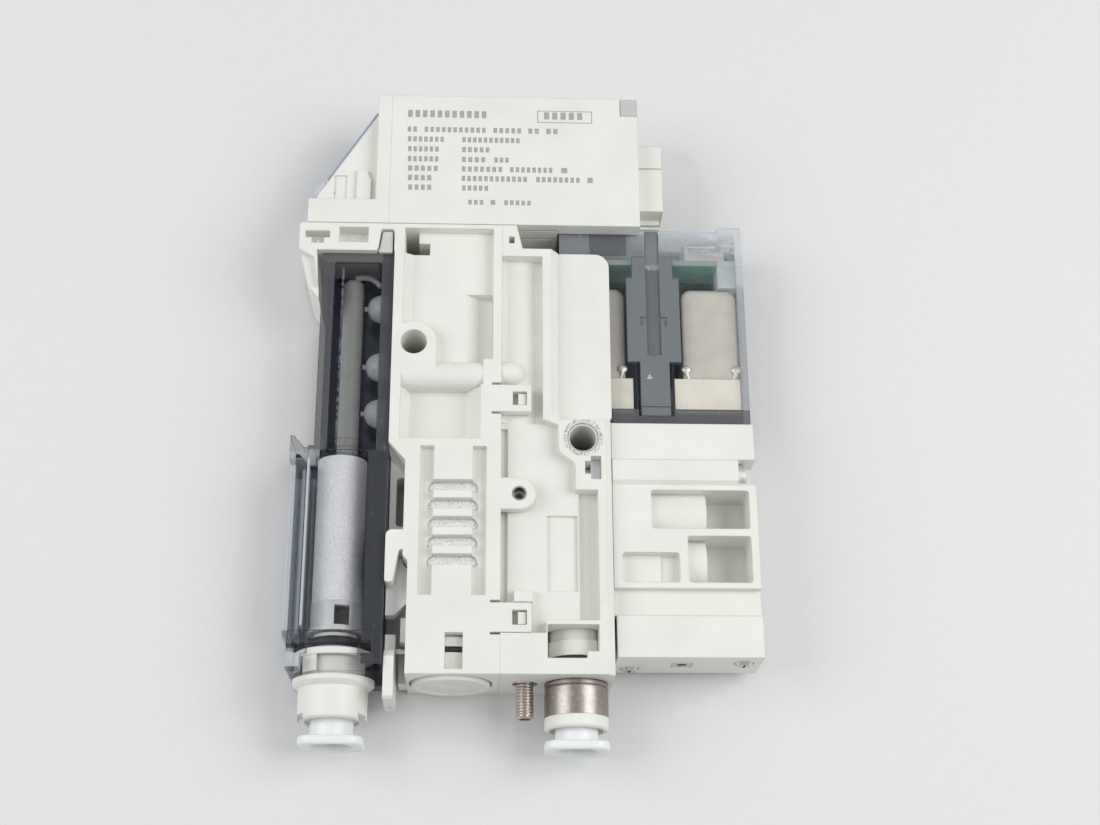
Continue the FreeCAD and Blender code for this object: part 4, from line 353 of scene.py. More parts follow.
def cap_seam_shade(f):
    """Painted shade in the seam round the silencer cap, on the end face only."""
    low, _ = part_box("ejector_body")
    cap_low, cap_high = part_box("silencer_cap")
    x = f.axis("X") - (cap_low.x + cap_high.x) / 2 / MM
    z = f.axis("Z") - (cap_low.z + cap_high.z) / 2 / MM
    reach = (cap_high.x - cap_low.x) / 2 / MM
    radius = (x * x + z * z).power(0.5)
    end = f.axis("Y").fall(low.y / MM + 0.3, low.y / MM + 0.5)
    seam = (0.45 - abs(radius - reach - 0.2)).ramp(0.0, 0.25)
    return seam * end * f.noise(1.5, 3.0).ramp(0.2, 0.7) * 0.6


def smoke_clear(f, tint, settings, wall_z, front_alpha, solid, solid_colour, painted_sheen):
    """Smoke-tinted clear moulding with painted shade on its back wall and along its edges, nearly solid
    fields, and painted sheen where its walls catch light.
    """
    # Painted shade along the edges, in colour and in opacity
    edge = f.edges(0.0005)
    # Painted shade: the back wall is held nearly solid so that the inside reads dark
    back = f.axis("Z").fall(wall_z, wall_z + 1.2)
    glance = f.node("ShaderNodeLayerWeight", None, {"Blend": 0.35}).out("Facing")
    cloud = f.noise(0.35, 3.0).ramp(0.35, 0.75)
    scratches = f.noise(1.0, 2.0, 0.6, f.stretched(3.0, 0.25, 3.0)).ramp(0.68, 0.76)
    motes = f.noise(3.1, 2.0, 0.6).ramp(0.74, 0.78)
    # Painted sheen: pale colour and more opacity where the walls catch light, less over solid fields
    painted_sheen = painted_sheen * (1.0 - solid * 0.92)
    colour = f.mix(edge, tint, settings.edge_shade_colour)
    colour = f.mix(solid, colour, solid_colour)
    colour = f.mix(painted_sheen, colour, settings.painted_sheen_colour)
    colour = f.mix((scratches + motes).clamped() * 0.5, colour, (0.42, 0.44, 0.47))
    alpha = front_alpha + glance.power(2.0) * 0.25 + edge * settings.edge_alpha
    alpha = alpha + back * (1.0 - painted_sheen) * settings.back_alpha + cloud * 0.03 + (scratches + motes) * 0.12
    alpha = (alpha + solid * 0.8 + painted_sheen * 0.6).clamped()
    normal = f.bump(f.noise(0.5, 2.0), 0.12, 0.0001, f.rounded(0.0003))
    rough = f.blend(solid, f.blend(cloud, 0.06, 0.16), 0.38)
    return f.done(colour, rough, Normal=normal, Alpha=alpha, IOR=1.5, Coat_Weight=0.2, Coat_Roughness=0.05)


def filter_case_finish(settings):
    """Case whose satin border stands round a polished window, with painted shade on its back and its lower
    right, its border painted lighter at the top and left, painted sheen on the fin and tab, and a painted
    glint down the window.
    """
    f = Finish("smoke_case")
    x = f.axis("X")
    y = f.axis("Y")
    front = f.axis("Z").ramp(*CASE_FRONT)
    upper = y.ramp(*CASE_SHOULDER)
    top_band = y.ramp(*CASE_TOP_BAND)
    right_band = x.ramp(*CASE_RIGHT_BAND)
    left_band = x.fall(*CASE_LEFT_BAND)
    border = (top_band + right_band + left_band * 0.8).clamped() * upper
    lower_right = x.ramp(*CASE_LOWER_RIGHT) * (1.0 - upper)
    above_collar = y.ramp(*CASE_COLLAR)
    solid = ((border + lower_right) * front * above_collar).clamped()
    # Painted light: the border, one moulding all round, is lighter at its top and left than at its right
    colour = f.mix(right_band, settings.lit_border_colour, settings.border_colour)
    # Painted shade: the lower right field is a nearly solid deeper grey
    colour = f.mix(lower_right, colour, settings.shaded_lower_colour)
    # Painted sheen on the fin and the tab, and a painted glint in streaks down the window
    fin = x.fall(*FIN_ROOT) * y.ramp(*FIN_FOOT) * y.fall(*FIN_HEAD)
    streak = f.noise(1.2, 2.0, 0.6, f.stretched(0.2, 1.0, 0.2)).ramp(0.35, 0.6)
    glint = (0.26 - abs(x - GLINT_X)).ramp(0.0, 0.12) * y.ramp(*GLINT_FOOT) * y.fall(*GLINT_HEAD) * front
    tab = x.fall(*TAB_ROOT) * y.ramp(*TAB_FOOT) * y.fall(*TAB_HEAD)
    painted_sheen = (fin + tab * 0.9 + glint * streak * 0.6).clamped()
    return smoke_clear(f, settings.case_tint, settings, CASE_BACK_WALL, 0.06, solid, colour, painted_sheen)


def pilot_cover_finish(settings):
    """Cover with a solid grey foot and corner patch, clear over the coils, with painted sheen at the top and
    along its walls.
    """
    f = Finish("smoke_cover")
    x = f.axis("X")
    y = f.axis("Y")
    front = f.axis("Z").ramp(*COVER_FRONT)
    foot = y.fall(*COVER_FOOT)
    corner = x.fall(*COVER_CORNER_X) * y.ramp(*COVER_CORNER_Y)
    patch = x.fall(*PATCH_RIGHT) * y.ramp(*PATCH_FOOT) * x.ramp(*PATCH_LEFT)
    solid = ((foot + corner * 0.8 + patch) * front).clamped()
    colour = f.mix(patch, settings.corner_colour, settings.patch_colour)
    colour = f.mix(foot, colour, settings.foot_colour)
    # Painted sheen: faint over the coils, stronger from the step up, in streaks, and along the right and top
    # walls
    lower_sheen = y.ramp(*SHEEN_FOOT) * y.fall(*SHEEN_STEP) * (x.ramp(*SHEEN_RIGHT) * 0.25 + 0.2)
    painted_sheen = (lower_sheen + y.ramp(*SHEEN_STEP) * 0.5 + y.ramp(*SHEEN_HEAD) * 0.3) * front
    lines = f.noise(0.8, 3.0, 0.6, f.stretched(0.35, 1.6, 1.0)).ramp(0.5, 0.62)
    painted_sheen = painted_sheen + lines * y.ramp(*LINES_FOOT) * x.ramp(*LINES_RIGHT) * front * 0.22
    _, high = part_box("pilot_cover")
    skin, wall = COVER_WALL
    side = x.ramp(high.x / MM - skin, high.x / MM - wall) + y.ramp(high.y / MM - skin, high.y / MM - wall)
    painted_sheen = (painted_sheen + side.clamped() * 0.4).clamped()
    return smoke_clear(f, settings.cover_tint, settings, COVER_BACK_WALL, 0.015, solid, colour, painted_sheen)


def frosted(name, colour, alpha):
    """Cloudy translucent moulding."""
    f = Finish(name)
    cloud = f.noise(0.5, 3.0)
    tone = f.mix(cloud.ramp(0.3, 0.7), colour, deeper(colour, 0.85))
    edge = f.edges(0.0004)
    see = (alpha + edge * 0.2 + cloud * 0.06).clamped()
    normal = f.bump(f.noise(3.0, 2.0), 0.15, 0.00005, f.rounded(0.0002))
    return f.done(tone, f.blend(cloud, 0.22, 0.36), Normal=normal, Alpha=see)


def spine_finish(settings, plastics):
    """Grey spine of the cover: a darker strap down its middle, with a painted glint and painted sheen near
    its top, and a hollow triangle.
    """
    f = Finish("grey_spine")
    x = f.axis("X")
    y = f.axis("Y")
    off_strap = abs(x - settings.strap_x)
    strap = (STRAP_HALF - off_strap).ramp(-0.02, 0.02) * (y - off_strap * 0.25).ramp(*STRAP_FOOT)
    cloud = f.noise(0.4, 3.0).ramp(0.3, 0.7)
    tone = f.mix(cloud, settings.spine_colour, deeper(settings.spine_colour, 0.93))
    tone = f.mix(strap, tone, settings.strap_colour)
    # Painted glint across the strap, and painted sheen on the strap above it
    glint = y.ramp(*STRAP_GLINT) * y.fall(*STRAP_SHEEN) * f.noise(1.6, 2.0).ramp(0.3, 0.6)
    tone = f.mix(strap * (glint * 0.5 + y.ramp(*STRAP_SHEEN) * 0.12), tone, (0.58, 0.62, 0.62))
    off_mark = abs(x - MARK_X)
    outer, inner = (
        (y - foot).ramp(0.0, 0.05) * ((tip - y) * slope - off_mark).ramp(0.0, 0.04)
        for foot, tip, slope in (MARK_OUTER, MARK_INNER)
    )
    tone = f.mix((outer - inner).clamped(), tone, (0.62, 0.64, 0.66))
    specks = f.noise(3.0, 3.0, 0.7).ramp(0.72, 0.77)
    tone = f.mix(specks * 0.3, tone, (0.45, 0.47, 0.48))
    normal = f.bump(f.noise(9.0, 2.0), 0.1, 0.00003, f.rounded(plastics.edge_radius))
    return f.done(tone, f.blend(cloud, 0.28, 0.40), Normal=normal)


def plated(name, colour, grain_along, roughness, mottle=0.25):
    """Bright plate over turned metal, with a faint grain, warm mottling and a painted highlight along its
    edges.
    """
    f = Finish(name)
    grain = f.noise(4.0, 3.0, 0.6, f.stretched(*grain_along))
    spots = f.noise(1.4, 4.0, 0.65)
    warm = tuple(c * m for c, m in zip(colour, (0.72, 0.62, 0.55)))
    tone = f.mix(spots.ramp(0.35, 0.75) * mottle, colour, warm)
    # Painted highlight along the edges
    edge = f.edges(0.00025)
    tone = f.mix(edge * 0.5, tone, tuple(min(1.0, c * 1.25) for c in colour))
    rough = f.blend(grain, roughness - 0.07, roughness + 0.1)
    normal = f.bump(grain, 0.12, 0.00003, f.rounded(0.00015))
    return f.done(tone, rough, Metallic=1.0, Normal=normal)


def rubber(name, colour):
    """Dull black or grey rubber."""
    f = Finish(name)
    cloud = f.noise(1.5, 3.0)
    tone = f.mix(cloud, colour, tuple(c * 1.8 + 0.01 for c in colour))
    normal = f.bump(f.noise(12.0, 2.0), 0.2, 0.00003)
    return f.done(tone, f.blend(cloud, 0.5, 0.68), Normal=normal)


def sintered(name, settings):
    """White tube of fused beads, pitted all over, with painted shade in the pits and between the beads."""
    f = Finish(name)
    beads = f.cells(3.4)
    pits = f.noise(3.2, 3.0, 0.6)
    # Painted shade: darker where the bump sinks into pits and between beads
    dark = pits.ramp(0.55, 0.70)
    tone = f.mix(dark * 0.6, settings.filter_colour, (0.40, 0.43, 0.48))
    tone = f.mix(beads.ramp(0.25, 0.6) * 0.18, tone, (0.52, 0.55, 0.60))
    height = pits * -0.9 + (1.0 - beads) * 0.5
    normal = f.bump(height, 0.9, 0.00025)
    return f.done(tone, f.blend(pits, 0.5, 0.75), Normal=normal)


def foam(name, settings):
    """Open-cell absorber with painted shade in its pits and painted highlights on its glossy cell walls."""
    f = Finish(name)
    cell = f.cells(3.2)
    glint = f.noise(6.5, 3.0, 0.7)
    pits = f.noise(4.2, 3.0, 0.6)
    # Painted shade in the pits, and painted highlights where the cell walls are glossy
    tone = f.mix(pits.ramp(0.52, 0.66), settings.foam_colour, (0.42, 0.43, 0.43))
    tone = f.mix(glint.ramp(0.56, 0.64) * 0.95, tone, (1.0, 1.0, 1.0))
    height = pits * -1.0 + cell * 0.6 + glint * 0.4
    normal = f.bump(height, 0.8, 0.0003)
    return f.done(tone, f.blend(glint.ramp(0.5, 0.7), 0.55, 0.12), Normal=normal)


def solder_mask(name):
    """Green circuit board with lighter tracks under the lacquer and a pale laminate edge."""
    f = Finish(name)
    lanes = {
        "Vector": f.stretched(1.0, 0.2, 1.0),
        "Color1": (0.0, 0.0, 0.0),
        "Color2": (0.0, 0.0, 0.0),
        "Mortar": (1.0, 1.0, 1.0),
        "Scale": 0.9,
        "Mortar Size": 0.10,
        "Brick Width": 2.6,
        "Row Height": 0.7,
    }
    track = f.node("ShaderNodeTexBrick", {"offset": 0.5}, lanes).out("Fac")
    mottled = f.noise(1.2, 3.0)
    green = f.mix(mottled.ramp(0.3, 0.7), (0.17, 0.54, 0.36), (0.22, 0.62, 0.42))
    green = f.mix(track * 0.35, green, (0.24, 0.62, 0.42))
    joints = f.cells(0.55).fall(0.10, 0.17)
    green = f.mix(joints * 0.9, green, (0.80, 0.82, 0.80))
    laminate = f.axis("Z").ramp(*BOARD_FACE)
    green = f.mix(laminate, green, (0.36, 0.50, 0.42))
    ripple = (f.axis("X") * 1.7).sine() * 0.02
    normal = f.bump(track + ripple, 0.25, 0.00005)
    return f.done(green, f.blend(mottled, 0.25, 0.42), Normal=normal, Coat_Weight=0.3)


def printed_sheet(name, colour):
    """Smooth printed film over a fine orange-peel surface."""
    f = Finish(name)
    cloud = f.noise(0.4, 2.0)
    tone = f.mix(cloud, colour, deeper(colour, 0.86))
    normal = f.bump(f.noise(2.5, 1.0), 0.08, 0.00003, f.rounded(0.00015))
    return f.done(tone, f.blend(cloud, 0.14, 0.26), Normal=normal, Coat_Weight=0.5)


def display_film(colour, glass):
    """Blue-grey film on the slanted face, with a dark glass field inside its border."""
    f = Finish("display_film")
    low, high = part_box("display_window")
    reach = math.hypot(high.x - low.x, high.y - low.y) / MM
    lean_x = (high.x - low.x) / MM / reach
    lean_y = (high.y - low.y) / MM / reach
    up_slant = (f.axis("X") - low.x / MM) * lean_x + (f.axis("Y") - low.y / MM) * lean_y
    off_middle = abs(f.axis("Z") - (low.z + high.z) / 2 / MM)
    half_height = (high.z - low.z) / 2 / MM - GLASS_HEAD
    field = (reach / 2 - GLASS_SIDE - abs(up_slant - reach / 2)).ramp(0.0, 0.06)
    field = field * (half_height - off_middle).ramp(0.0, 0.06)
    cloud = f.noise(0.4, 2.0)
    tone = f.mix(cloud, colour, deeper(colour, 0.86))
    tone = f.mix(field, tone, glass)
    normal = f.bump(f.noise(2.5, 1.0), 0.08, 0.00003, f.rounded(0.00015))
    return f.done(tone, f.blend(field, f.blend(cloud, 0.18, 0.3), 0.08), Normal=normal, Coat_Weight=0.5)


def painted_can(name, settings):
    """Warm grey satin can of a coil, with painted shade along its rounded edges."""
    f = Finish(name)
    cloud = f.noise(0.3, 3.0)
    colour = settings.can_colour
    tone = f.mix(cloud.ramp(0.3, 0.7), colour, deeper(colour, 0.9))
    specks = f.noise(3.0, 2.0, 0.6).ramp(0.70, 0.76)
    tone = f.mix(specks * 0.35, tone, (0.25, 0.24, 0.22))
    # Painted shade along the rounded edges
    tone = f.mix(f.edges(0.0009) * 0.8, tone, deeper(colour, 0.62))
    normal = f.bump(f.noise(6.0, 2.0), 0.12, 0.00003, f.rounded(0.0009))
    return f.done(tone, f.blend(cloud, 0.3, 0.42), Normal=normal)


def ink(name, colour):
    """Flat ink that is a little worn."""
    f = Finish(name)
    wear = f.noise(5.0, 3.0)
    tone = f.mix(wear.ramp(0.35, 0.8), colour, tuple(c * 2.2 + 0.03 for c in colour))
    normal = f.bump(wear, 0.1, 0.00001)
    return f.done(tone, f.blend(wear, 0.35, 0.5), Normal=normal)


# Geometry helpers
def make_object(name, bm, material, body, replaces=(), smooth=True):
    """Links a mesh as a piece that rides on a body."""
    mesh = bpy.data.meshes.new(name)
    bmesh.ops.recalc_face_normals(bm, faces=bm.faces)
    for edge in bm.edges:
        edge.smooth = len(edge.link_faces) == 2 and edge.calc_face_angle() < SHARP
    bm.to_mesh(mesh)
    bm.free()
    for polygon in mesh.polygons:
        polygon.use_smooth = smooth
    mesh.materials.append(material)
    piece = bpy.data.objects.new(name, mesh)
    bpy.context.scene.collection.objects.link(piece)
    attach(piece, body)
    if replaces:
        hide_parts(*replaces)
    return piece


def grid_faces(bm, rows):
    """Quads between closed rows of vertices."""
    for lower, upper in zip(rows, rows[1:]):
        count = len(lower)
        for i in range(count):
            j = (i + 1) % count
            bm.faces.new((lower[i], lower[j], upper[j], upper[i]))


def tube_rows(bm, points, radius_at, sides=12):
    """Rings round a path of points in millimetres; radius_at takes the share of the path."""
    rows = []
    count = len(points)
    side = None
    for i, point in enumerate(points):
        before = points[max(i - 1, 0)]
        after = points[min(i + 1, count - 1)]
        along = (after - before).normalized()
        if side is None:
            side = along.orthogonal().normalized()
        side = (side - along * side.dot(along)).normalized()
        other = along.cross(side)
        row = []
        for k in range(sides):
            angle = 2 * math.pi * k / sides
            offset = side * math.cos(angle) + other * math.sin(angle)
            row.append(bm.verts.new((point + offset * radius_at(i / (count - 1))) * MM))
        rows.append(row)
    return rows


def ring(bm, x, y, z, reach_at, sides, offset=0.0):
    """Row of vertices round a line along Y, in millimetres; reach_at gives the radius at an angle."""
    row = []
    for k in range(sides):
        angle = 2 * math.pi * (k + offset) / sides
        across = x + reach_at(angle) * math.cos(angle)
        height = z + reach_at(angle) * math.sin(angle)
        row.append(bm.verts.new((across * MM, y * MM, height * MM)))
    return row


def give(material, *names):
    """Puts one finish on CAD pieces."""
    for name in names:
        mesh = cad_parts[name].data
        mesh.materials.clear()
        mesh.materials.append(material)


# Settings
COLOUR = {"subtype": "COLOR", "size": 3, "min": 0.0, "max": 1.0}
SHARE = {"subtype": "FACTOR", "min": 0.0, "max": 1.0}


class PlasticSettings(bpy.types.PropertyGroup):
    body_colour: bpy.props.FloatVectorProperty(
        name="Body colour",
        description="Warm white of the mouldings",
        default=(0.80, 0.80, 0.745),
        **COLOUR,
    )
    button_colour: bpy.props.FloatVectorProperty(
        name="Fitting colour",
        description="Cool white of the release buttons",
        default=(0.84, 0.86, 0.86),
        **COLOUR,
    )
    roughness: bpy.props.FloatProperty(
        name="Roughness",
        description="Roughness of the moulded faces",
        default=0.46,
        **SHARE,
    )
    edge_radius: bpy.props.FloatProperty(
        name="Edge radius",
        description="Rounding that moulded edges show",
        unit="LENGTH",
        min=0.0,
        default=0.00022,
    )
    rim_corner: bpy.props.FloatProperty(
        name="Rim corner",
        description="Corner radius of the release buttons' oval rims",
        unit="LENGTH",
        min=0.0,
        default=0.0023,
    )


class ClearSettings(bpy.types.PropertyGroup):
    case_tint: bpy.props.FloatVectorProperty(
        name="Case tint",
        description="Smoke tint of the filter case",
        default=(0.034, 0.039, 0.056),
        **COLOUR,
    )
    cover_tint: bpy.props.FloatVectorProperty(
        name="Cover tint",
        description="Smoke tint of the pilot cover",
        default=(0.16, 0.18, 0.20),
        **COLOUR,
    )
    border_colour: bpy.props.FloatVectorProperty(
        name="Border colour",
        description="Dark grey of the satin border round the case's window",
        default=(0.052, 0.058, 0.068),
        **COLOUR,
    )
    # Painted light: the border painted lighter at the case's top and left
    lit_border_colour: bpy.props.FloatVectorProperty(
        name="Rim colour",
        description="Lighter grey of the border at the case's top and left",
        default=(0.105, 0.107, 0.108),
        **COLOUR,
    )
    # Painted shade over the case's lower right
    shaded_lower_colour: bpy.props.FloatVectorProperty(
        name="Lower field colour",
        description="Deeper grey of the case's lower right",
        default=(0.030, 0.034, 0.042),
        **COLOUR,
    )
    corner_colour: bpy.props.FloatVectorProperty(
        name="Corner colour",
        description="Grey of the cover's solid corner",
        default=(0.16, 0.175, 0.19),
        **COLOUR,
    )
    patch_colour: bpy.props.FloatVectorProperty(
        name="Patch colour",
        description="Slate of the cut-cornered patch",
        default=(0.085, 0.095, 0.11),
        **COLOUR,
    )
    foot_colour: bpy.props.FloatVectorProperty(
        name="Foot colour",
        description="Grey of the cover's solid foot",
        default=(0.085, 0.092, 0.10),
        **COLOUR,
    )
    # Painted sheen: pale colour laid where the clear walls catch light
    painted_sheen_colour: bpy.props.FloatVectorProperty(
        name="Haze colour",
        description="Pale veil where the cover's walls gather light",
        default=(0.60, 0.65, 0.69),
        **COLOUR,
    )
    spine_colour: bpy.props.FloatVectorProperty(
        name="Spine colour",
        description="Grey of the cover's spine",
        default=(0.165, 0.18, 0.19),
        **COLOUR,
    )
    strap_colour: bpy.props.FloatVectorProperty(
        name="Strap colour",
        description="Darker grey of the strap down the spine",
        default=(0.125, 0.137, 0.147),
        **COLOUR,
    )
    strap_x: bpy.props.FloatProperty(
        name="Strap place",
        description="Middle of the strap across the cover, in millimetres",
        default=12.7,
    )
    # Painted shade along the clear edges: first in opacity, then in colour
    edge_alpha: bpy.props.FloatProperty(
        name="Edge opacity",
        description="How much more an edge holds back",
        default=0.45,
        **SHARE,
    )
    edge_shade_colour: bpy.props.FloatVectorProperty(
        name="Edge colour",
        description="Deeper colour that clear edges gather",
        default=(0.03, 0.035, 0.10),
        **COLOUR,
    )
    # Painted shade: how nearly solid the back wall is made, so that the inside reads dark
    back_alpha: bpy.props.FloatProperty(
        name="Back opacity",
        description="How much more the back wall holds back",
        default=0.88,
        **SHARE,
    )


class InsideSettings(bpy.types.PropertyGroup):
    filter_colour: bpy.props.FloatVectorProperty(
        name="Filter colour",
        description="White of the filter tube",
        default=(0.97, 0.98, 1.0),
        **COLOUR,
    )
    foam_colour: bpy.props.FloatVectorProperty(
        name="Absorber colour",
        description="White of the sound absorber",
        default=(0.92, 0.93, 0.90),
        **COLOUR,
    )
    can_colour: bpy.props.FloatVectorProperty(
        name="Coil can colour",
        description="Warm grey of the pilot coils",
        default=(0.60, 0.575, 0.51),
        **COLOUR,
    )
    thread_pitch: bpy.props.FloatProperty(
        name="Thread pitch",
        description="Pitch of the adjusting screw",
        unit="LENGTH",
        min=0.0001,
        default=0.0005,
    )


class StageSettings(bpy.types.PropertyGroup):
    floor_colour: bpy.props.FloatVectorProperty(
        name="Floor colour",
        description="Pale floor under the part",
        default=(0.74, 0.74, 0.74),
        **COLOUR,
    )
    key_power: bpy.props.FloatProperty(
        name="Key light",
        description="Power of the soft light on the right in watts",
        min=0.0,
        default=2.1,
    )
    fill_share: bpy.props.FloatProperty(
        name="Fill share",
        description="Power of the soft light on the left as a share of the key light",
        default=0.75,
        **SHARE,
    )
    lens: bpy.props.FloatProperty(
        name="Lens",
        description="Focal length of the camera in millimetres",
        min=1.0,
        default=54.45,
    )


# Operators
class EJECTOR_OT_mouldings(bpy.types.Operator):
    """Finish the white, cream and grey mouldings"""

    bl_idname = "ejector.mouldings"
    bl_label = "Mouldings"

    def execute(self, context):
        plastics = context.scene.ejector_plastics
        white = moulded("warm_white_moulding", plastics.body_colour, plastics)
        give(
            white,
            "pilot_valve_block",
            "valve_end_cover",
            "switch_case",
            "display_housing",
            "port_adapter",
            "supply_port_collar",
            "supply_fitting_body",
            "silencer_cap",
            "lock_lever",
            "cable_connector",
        )
        give(moulded("white_worn_at_boss", plastics.body_colour, plastics, wear_and_shade=worn_boss), "valve_body")
        # Body moulding with painted shade in the seam round the silencer cap
        give(moulded("white_shaded_round_cap", plastics.body_colour, plastics, wear_and_shade=cap_seam_shade), "ejector_body")
        cream = moulded("cream_moulding", (0.78, 0.75, 0.64), plastics, 0.2)
        give(cream, "coil_bobbins", "plug_connector")
        grey = moulded("grey_moulding", (0.30, 0.30, 0.285), plastics, 0.1, 0.3)
        give(grey, "diffuser")
        insert = moulded("warm_grey_moulding", (0.56, 0.55, 0.535), plastics, 0.1, 0.4)
        give(insert, "corner_insert")
        return {"FINISHED"}


class EJECTOR_OT_clear_parts(bpy.types.Operator):
    """Finish the smoke-tinted case and cover and the cloudy clear parts"""

    bl_idname = "ejector.clear_parts"
    bl_label = "Clear parts"

    def execute(self, context):
        clear = context.scene.ejector_clear
        plastics = context.scene.ejector_plastics
        give(filter_case_finish(clear), "filter_case")
        give(pilot_cover_finish(clear), "pilot_cover")
        give(frosted("cloudy_clear", (0.80, 0.82, 0.82), 0.86), "filter_holder")
        give(frosted("pale_clear", (0.82, 0.83, 0.80), 0.72), "case_catch")
        give(frosted("cloudy_grey_clear", (0.93, 0.95, 0.92), 0.94), "latch_plate")
        give(frosted("grey_clear_tube", (0.42, 0.43, 0.41), 0.88), "passage_tube")
        give(frosted("milky_silicone", (0.70, 0.72, 0.73), 0.66), "check_valves")
        # Mint lens, painted paler than its own tint to carry the light it reflects
        give(frosted("mint_clear", (0.84, 0.94, 0.89), 0.84), "indicator_lens")
        give(spine_finish(clear, plastics), "pilot_cover_latch")
        return {"FINISHED"}


class EJECTOR_OT_porous_parts(bpy.types.Operator):
    """Finish the filter tube and the sound absorber behind the louvres"""

    bl_idname = "ejector.porous_parts"
    bl_label = "Porous parts"

    def execute(self, context):
        inside = context.scene.ejector_inside
        give(sintered("sintered_filter", inside), "filter_element")
        give(foam("sound_absorber", inside), "silencer_element")
        return {"FINISHED"}


class EJECTOR_OT_metal_parts(bpy.types.Operator):
    """Finish the plated sleeve, screws, nuts, pins and turned parts"""

    bl_idname = "ejector.metal_parts"
    bl_label = "Metal parts"

    def execute(self, context):
        give(plated("nickel_sleeve", (0.41, 0.385, 0.36), (1.0, 6.0, 1.0), 0.36, 0.9), "supply_port_sleeve")
        give(
            plated("bright_steel", (0.66, 0.66, 0.65), (3.0, 3.0, 3.0), 0.22, 0.15),
            "grip_rings",
            "lever_pin",
            "spool_springs",
            "pressure_sensor",
            "square_nut",
            "end_cover_screws",
        )
        give(plated("zinc_plate", (0.42, 0.41, 0.395), (3.0, 3.0, 3.0), 0.36, 0.4), "seam_eyelet")
        zinc = plated("bright_zinc", (0.80, 0.82, 0.84), (3.0, 3.0, 3.0), 0.48, 0.15)
        give(zinc, "tie_screw", "tie_screw_nut")
        brass = plated("plain_brass", (0.70, 0.52, 0.26), (3.0, 1.0, 3.0), 0.26)
        give(brass, "nozzle", "connector_pins")
        give(plated("dull_nickel", (0.30, 0.28, 0.26), (3.0, 1.0, 3.0), 0.4), "needle_bush")
        give(
            plated("turned_aluminium", (0.72, 0.72, 0.73), (6.0, 1.0, 1.0), 0.25, 0.1),
            "supply_valve_spool",
            "release_valve_spool",
        )
        seal = rubber("nitrile_rubber", (0.018, 0.018, 0.018))
        give(seal, "cap_seal", "supply_fitting_seal", "adapter_seal", "tube_seals")
        give(rubber("grey_rubber", (0.075, 0.075, 0.072)), "valve_gasket")
        return {"FINISHED"}


class EJECTOR_OT_adjusting_screw(bpy.types.Operator):
    """Cut the thread of the adjusting screw"""

    bl_idname = "ejector.adjusting_screw"
    bl_label = "Adjusting screw"

    def execute(self, context):
        low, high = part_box("release_needle")
        x = (low.x + high.x) / 2 / MM
        z = (low.z + high.z) / 2 / MM
        outer = (high.x - low.x) / 2 / MM
        pitch = context.scene.ejector_inside.thread_pitch / MM
        bottom = low.y / MM
        top = high.y / MM
        bm = bmesh.new()
        rows = []
        for reach, inset in ((0.25, 0.75), (outer - 0.45, 0.75), (outer - 0.5, 0.0), (outer - 0.32, 0.0)):
            rows.append(ring(bm, x, bottom + inset, z, lambda angle: reach, THREAD_SIDES))
        count = int((top - POINT_LENGTH - bottom - THREAD_START) / pitch * THREAD_STEPS)
        for i in range(count + 1):
            y = bottom + THREAD_START + i * pitch / THREAD_STEPS
            rows.append(
                ring(bm, x, y, z, lambda angle: self.thread(angle, y - bottom, outer, pitch), THREAD_SIDES)
            )
        for reach, inset in ((0.8, 2.0), (0.3, 0.0), (0.02, 0.0)):
            rows.append(ring(bm, x, top - inset, z, lambda angle: reach, THREAD_SIDES))
        grid_faces(bm, rows)
        bm.faces.new(rows[0])
        bm.faces.new(rows[-1])
        steel = plated("screw_steel", (0.58, 0.52, 0.47), (1.0, 1.0, 1.0), 0.22, 0.35)
        make_object("adjusting_screw", bm, steel, "needle", ("release_needle",))
        return {"FINISHED"}

    def thread(self, angle, height, outer, pitch):
        """Radius of the thread at a height above the screw's foot; the first turns are slimmer."""
        phase = (height / pitch - angle / (2 * math.pi)) % 1.0
        cut = abs(phase - 0.5) * 2.0
        fade = min(1.0, (height - 0.1) / 0.5)
        return outer - 0.12 * (1 - fade) - THREAD_DEPTH * pitch * max(0.0, cut * 1.25 - 0.2)


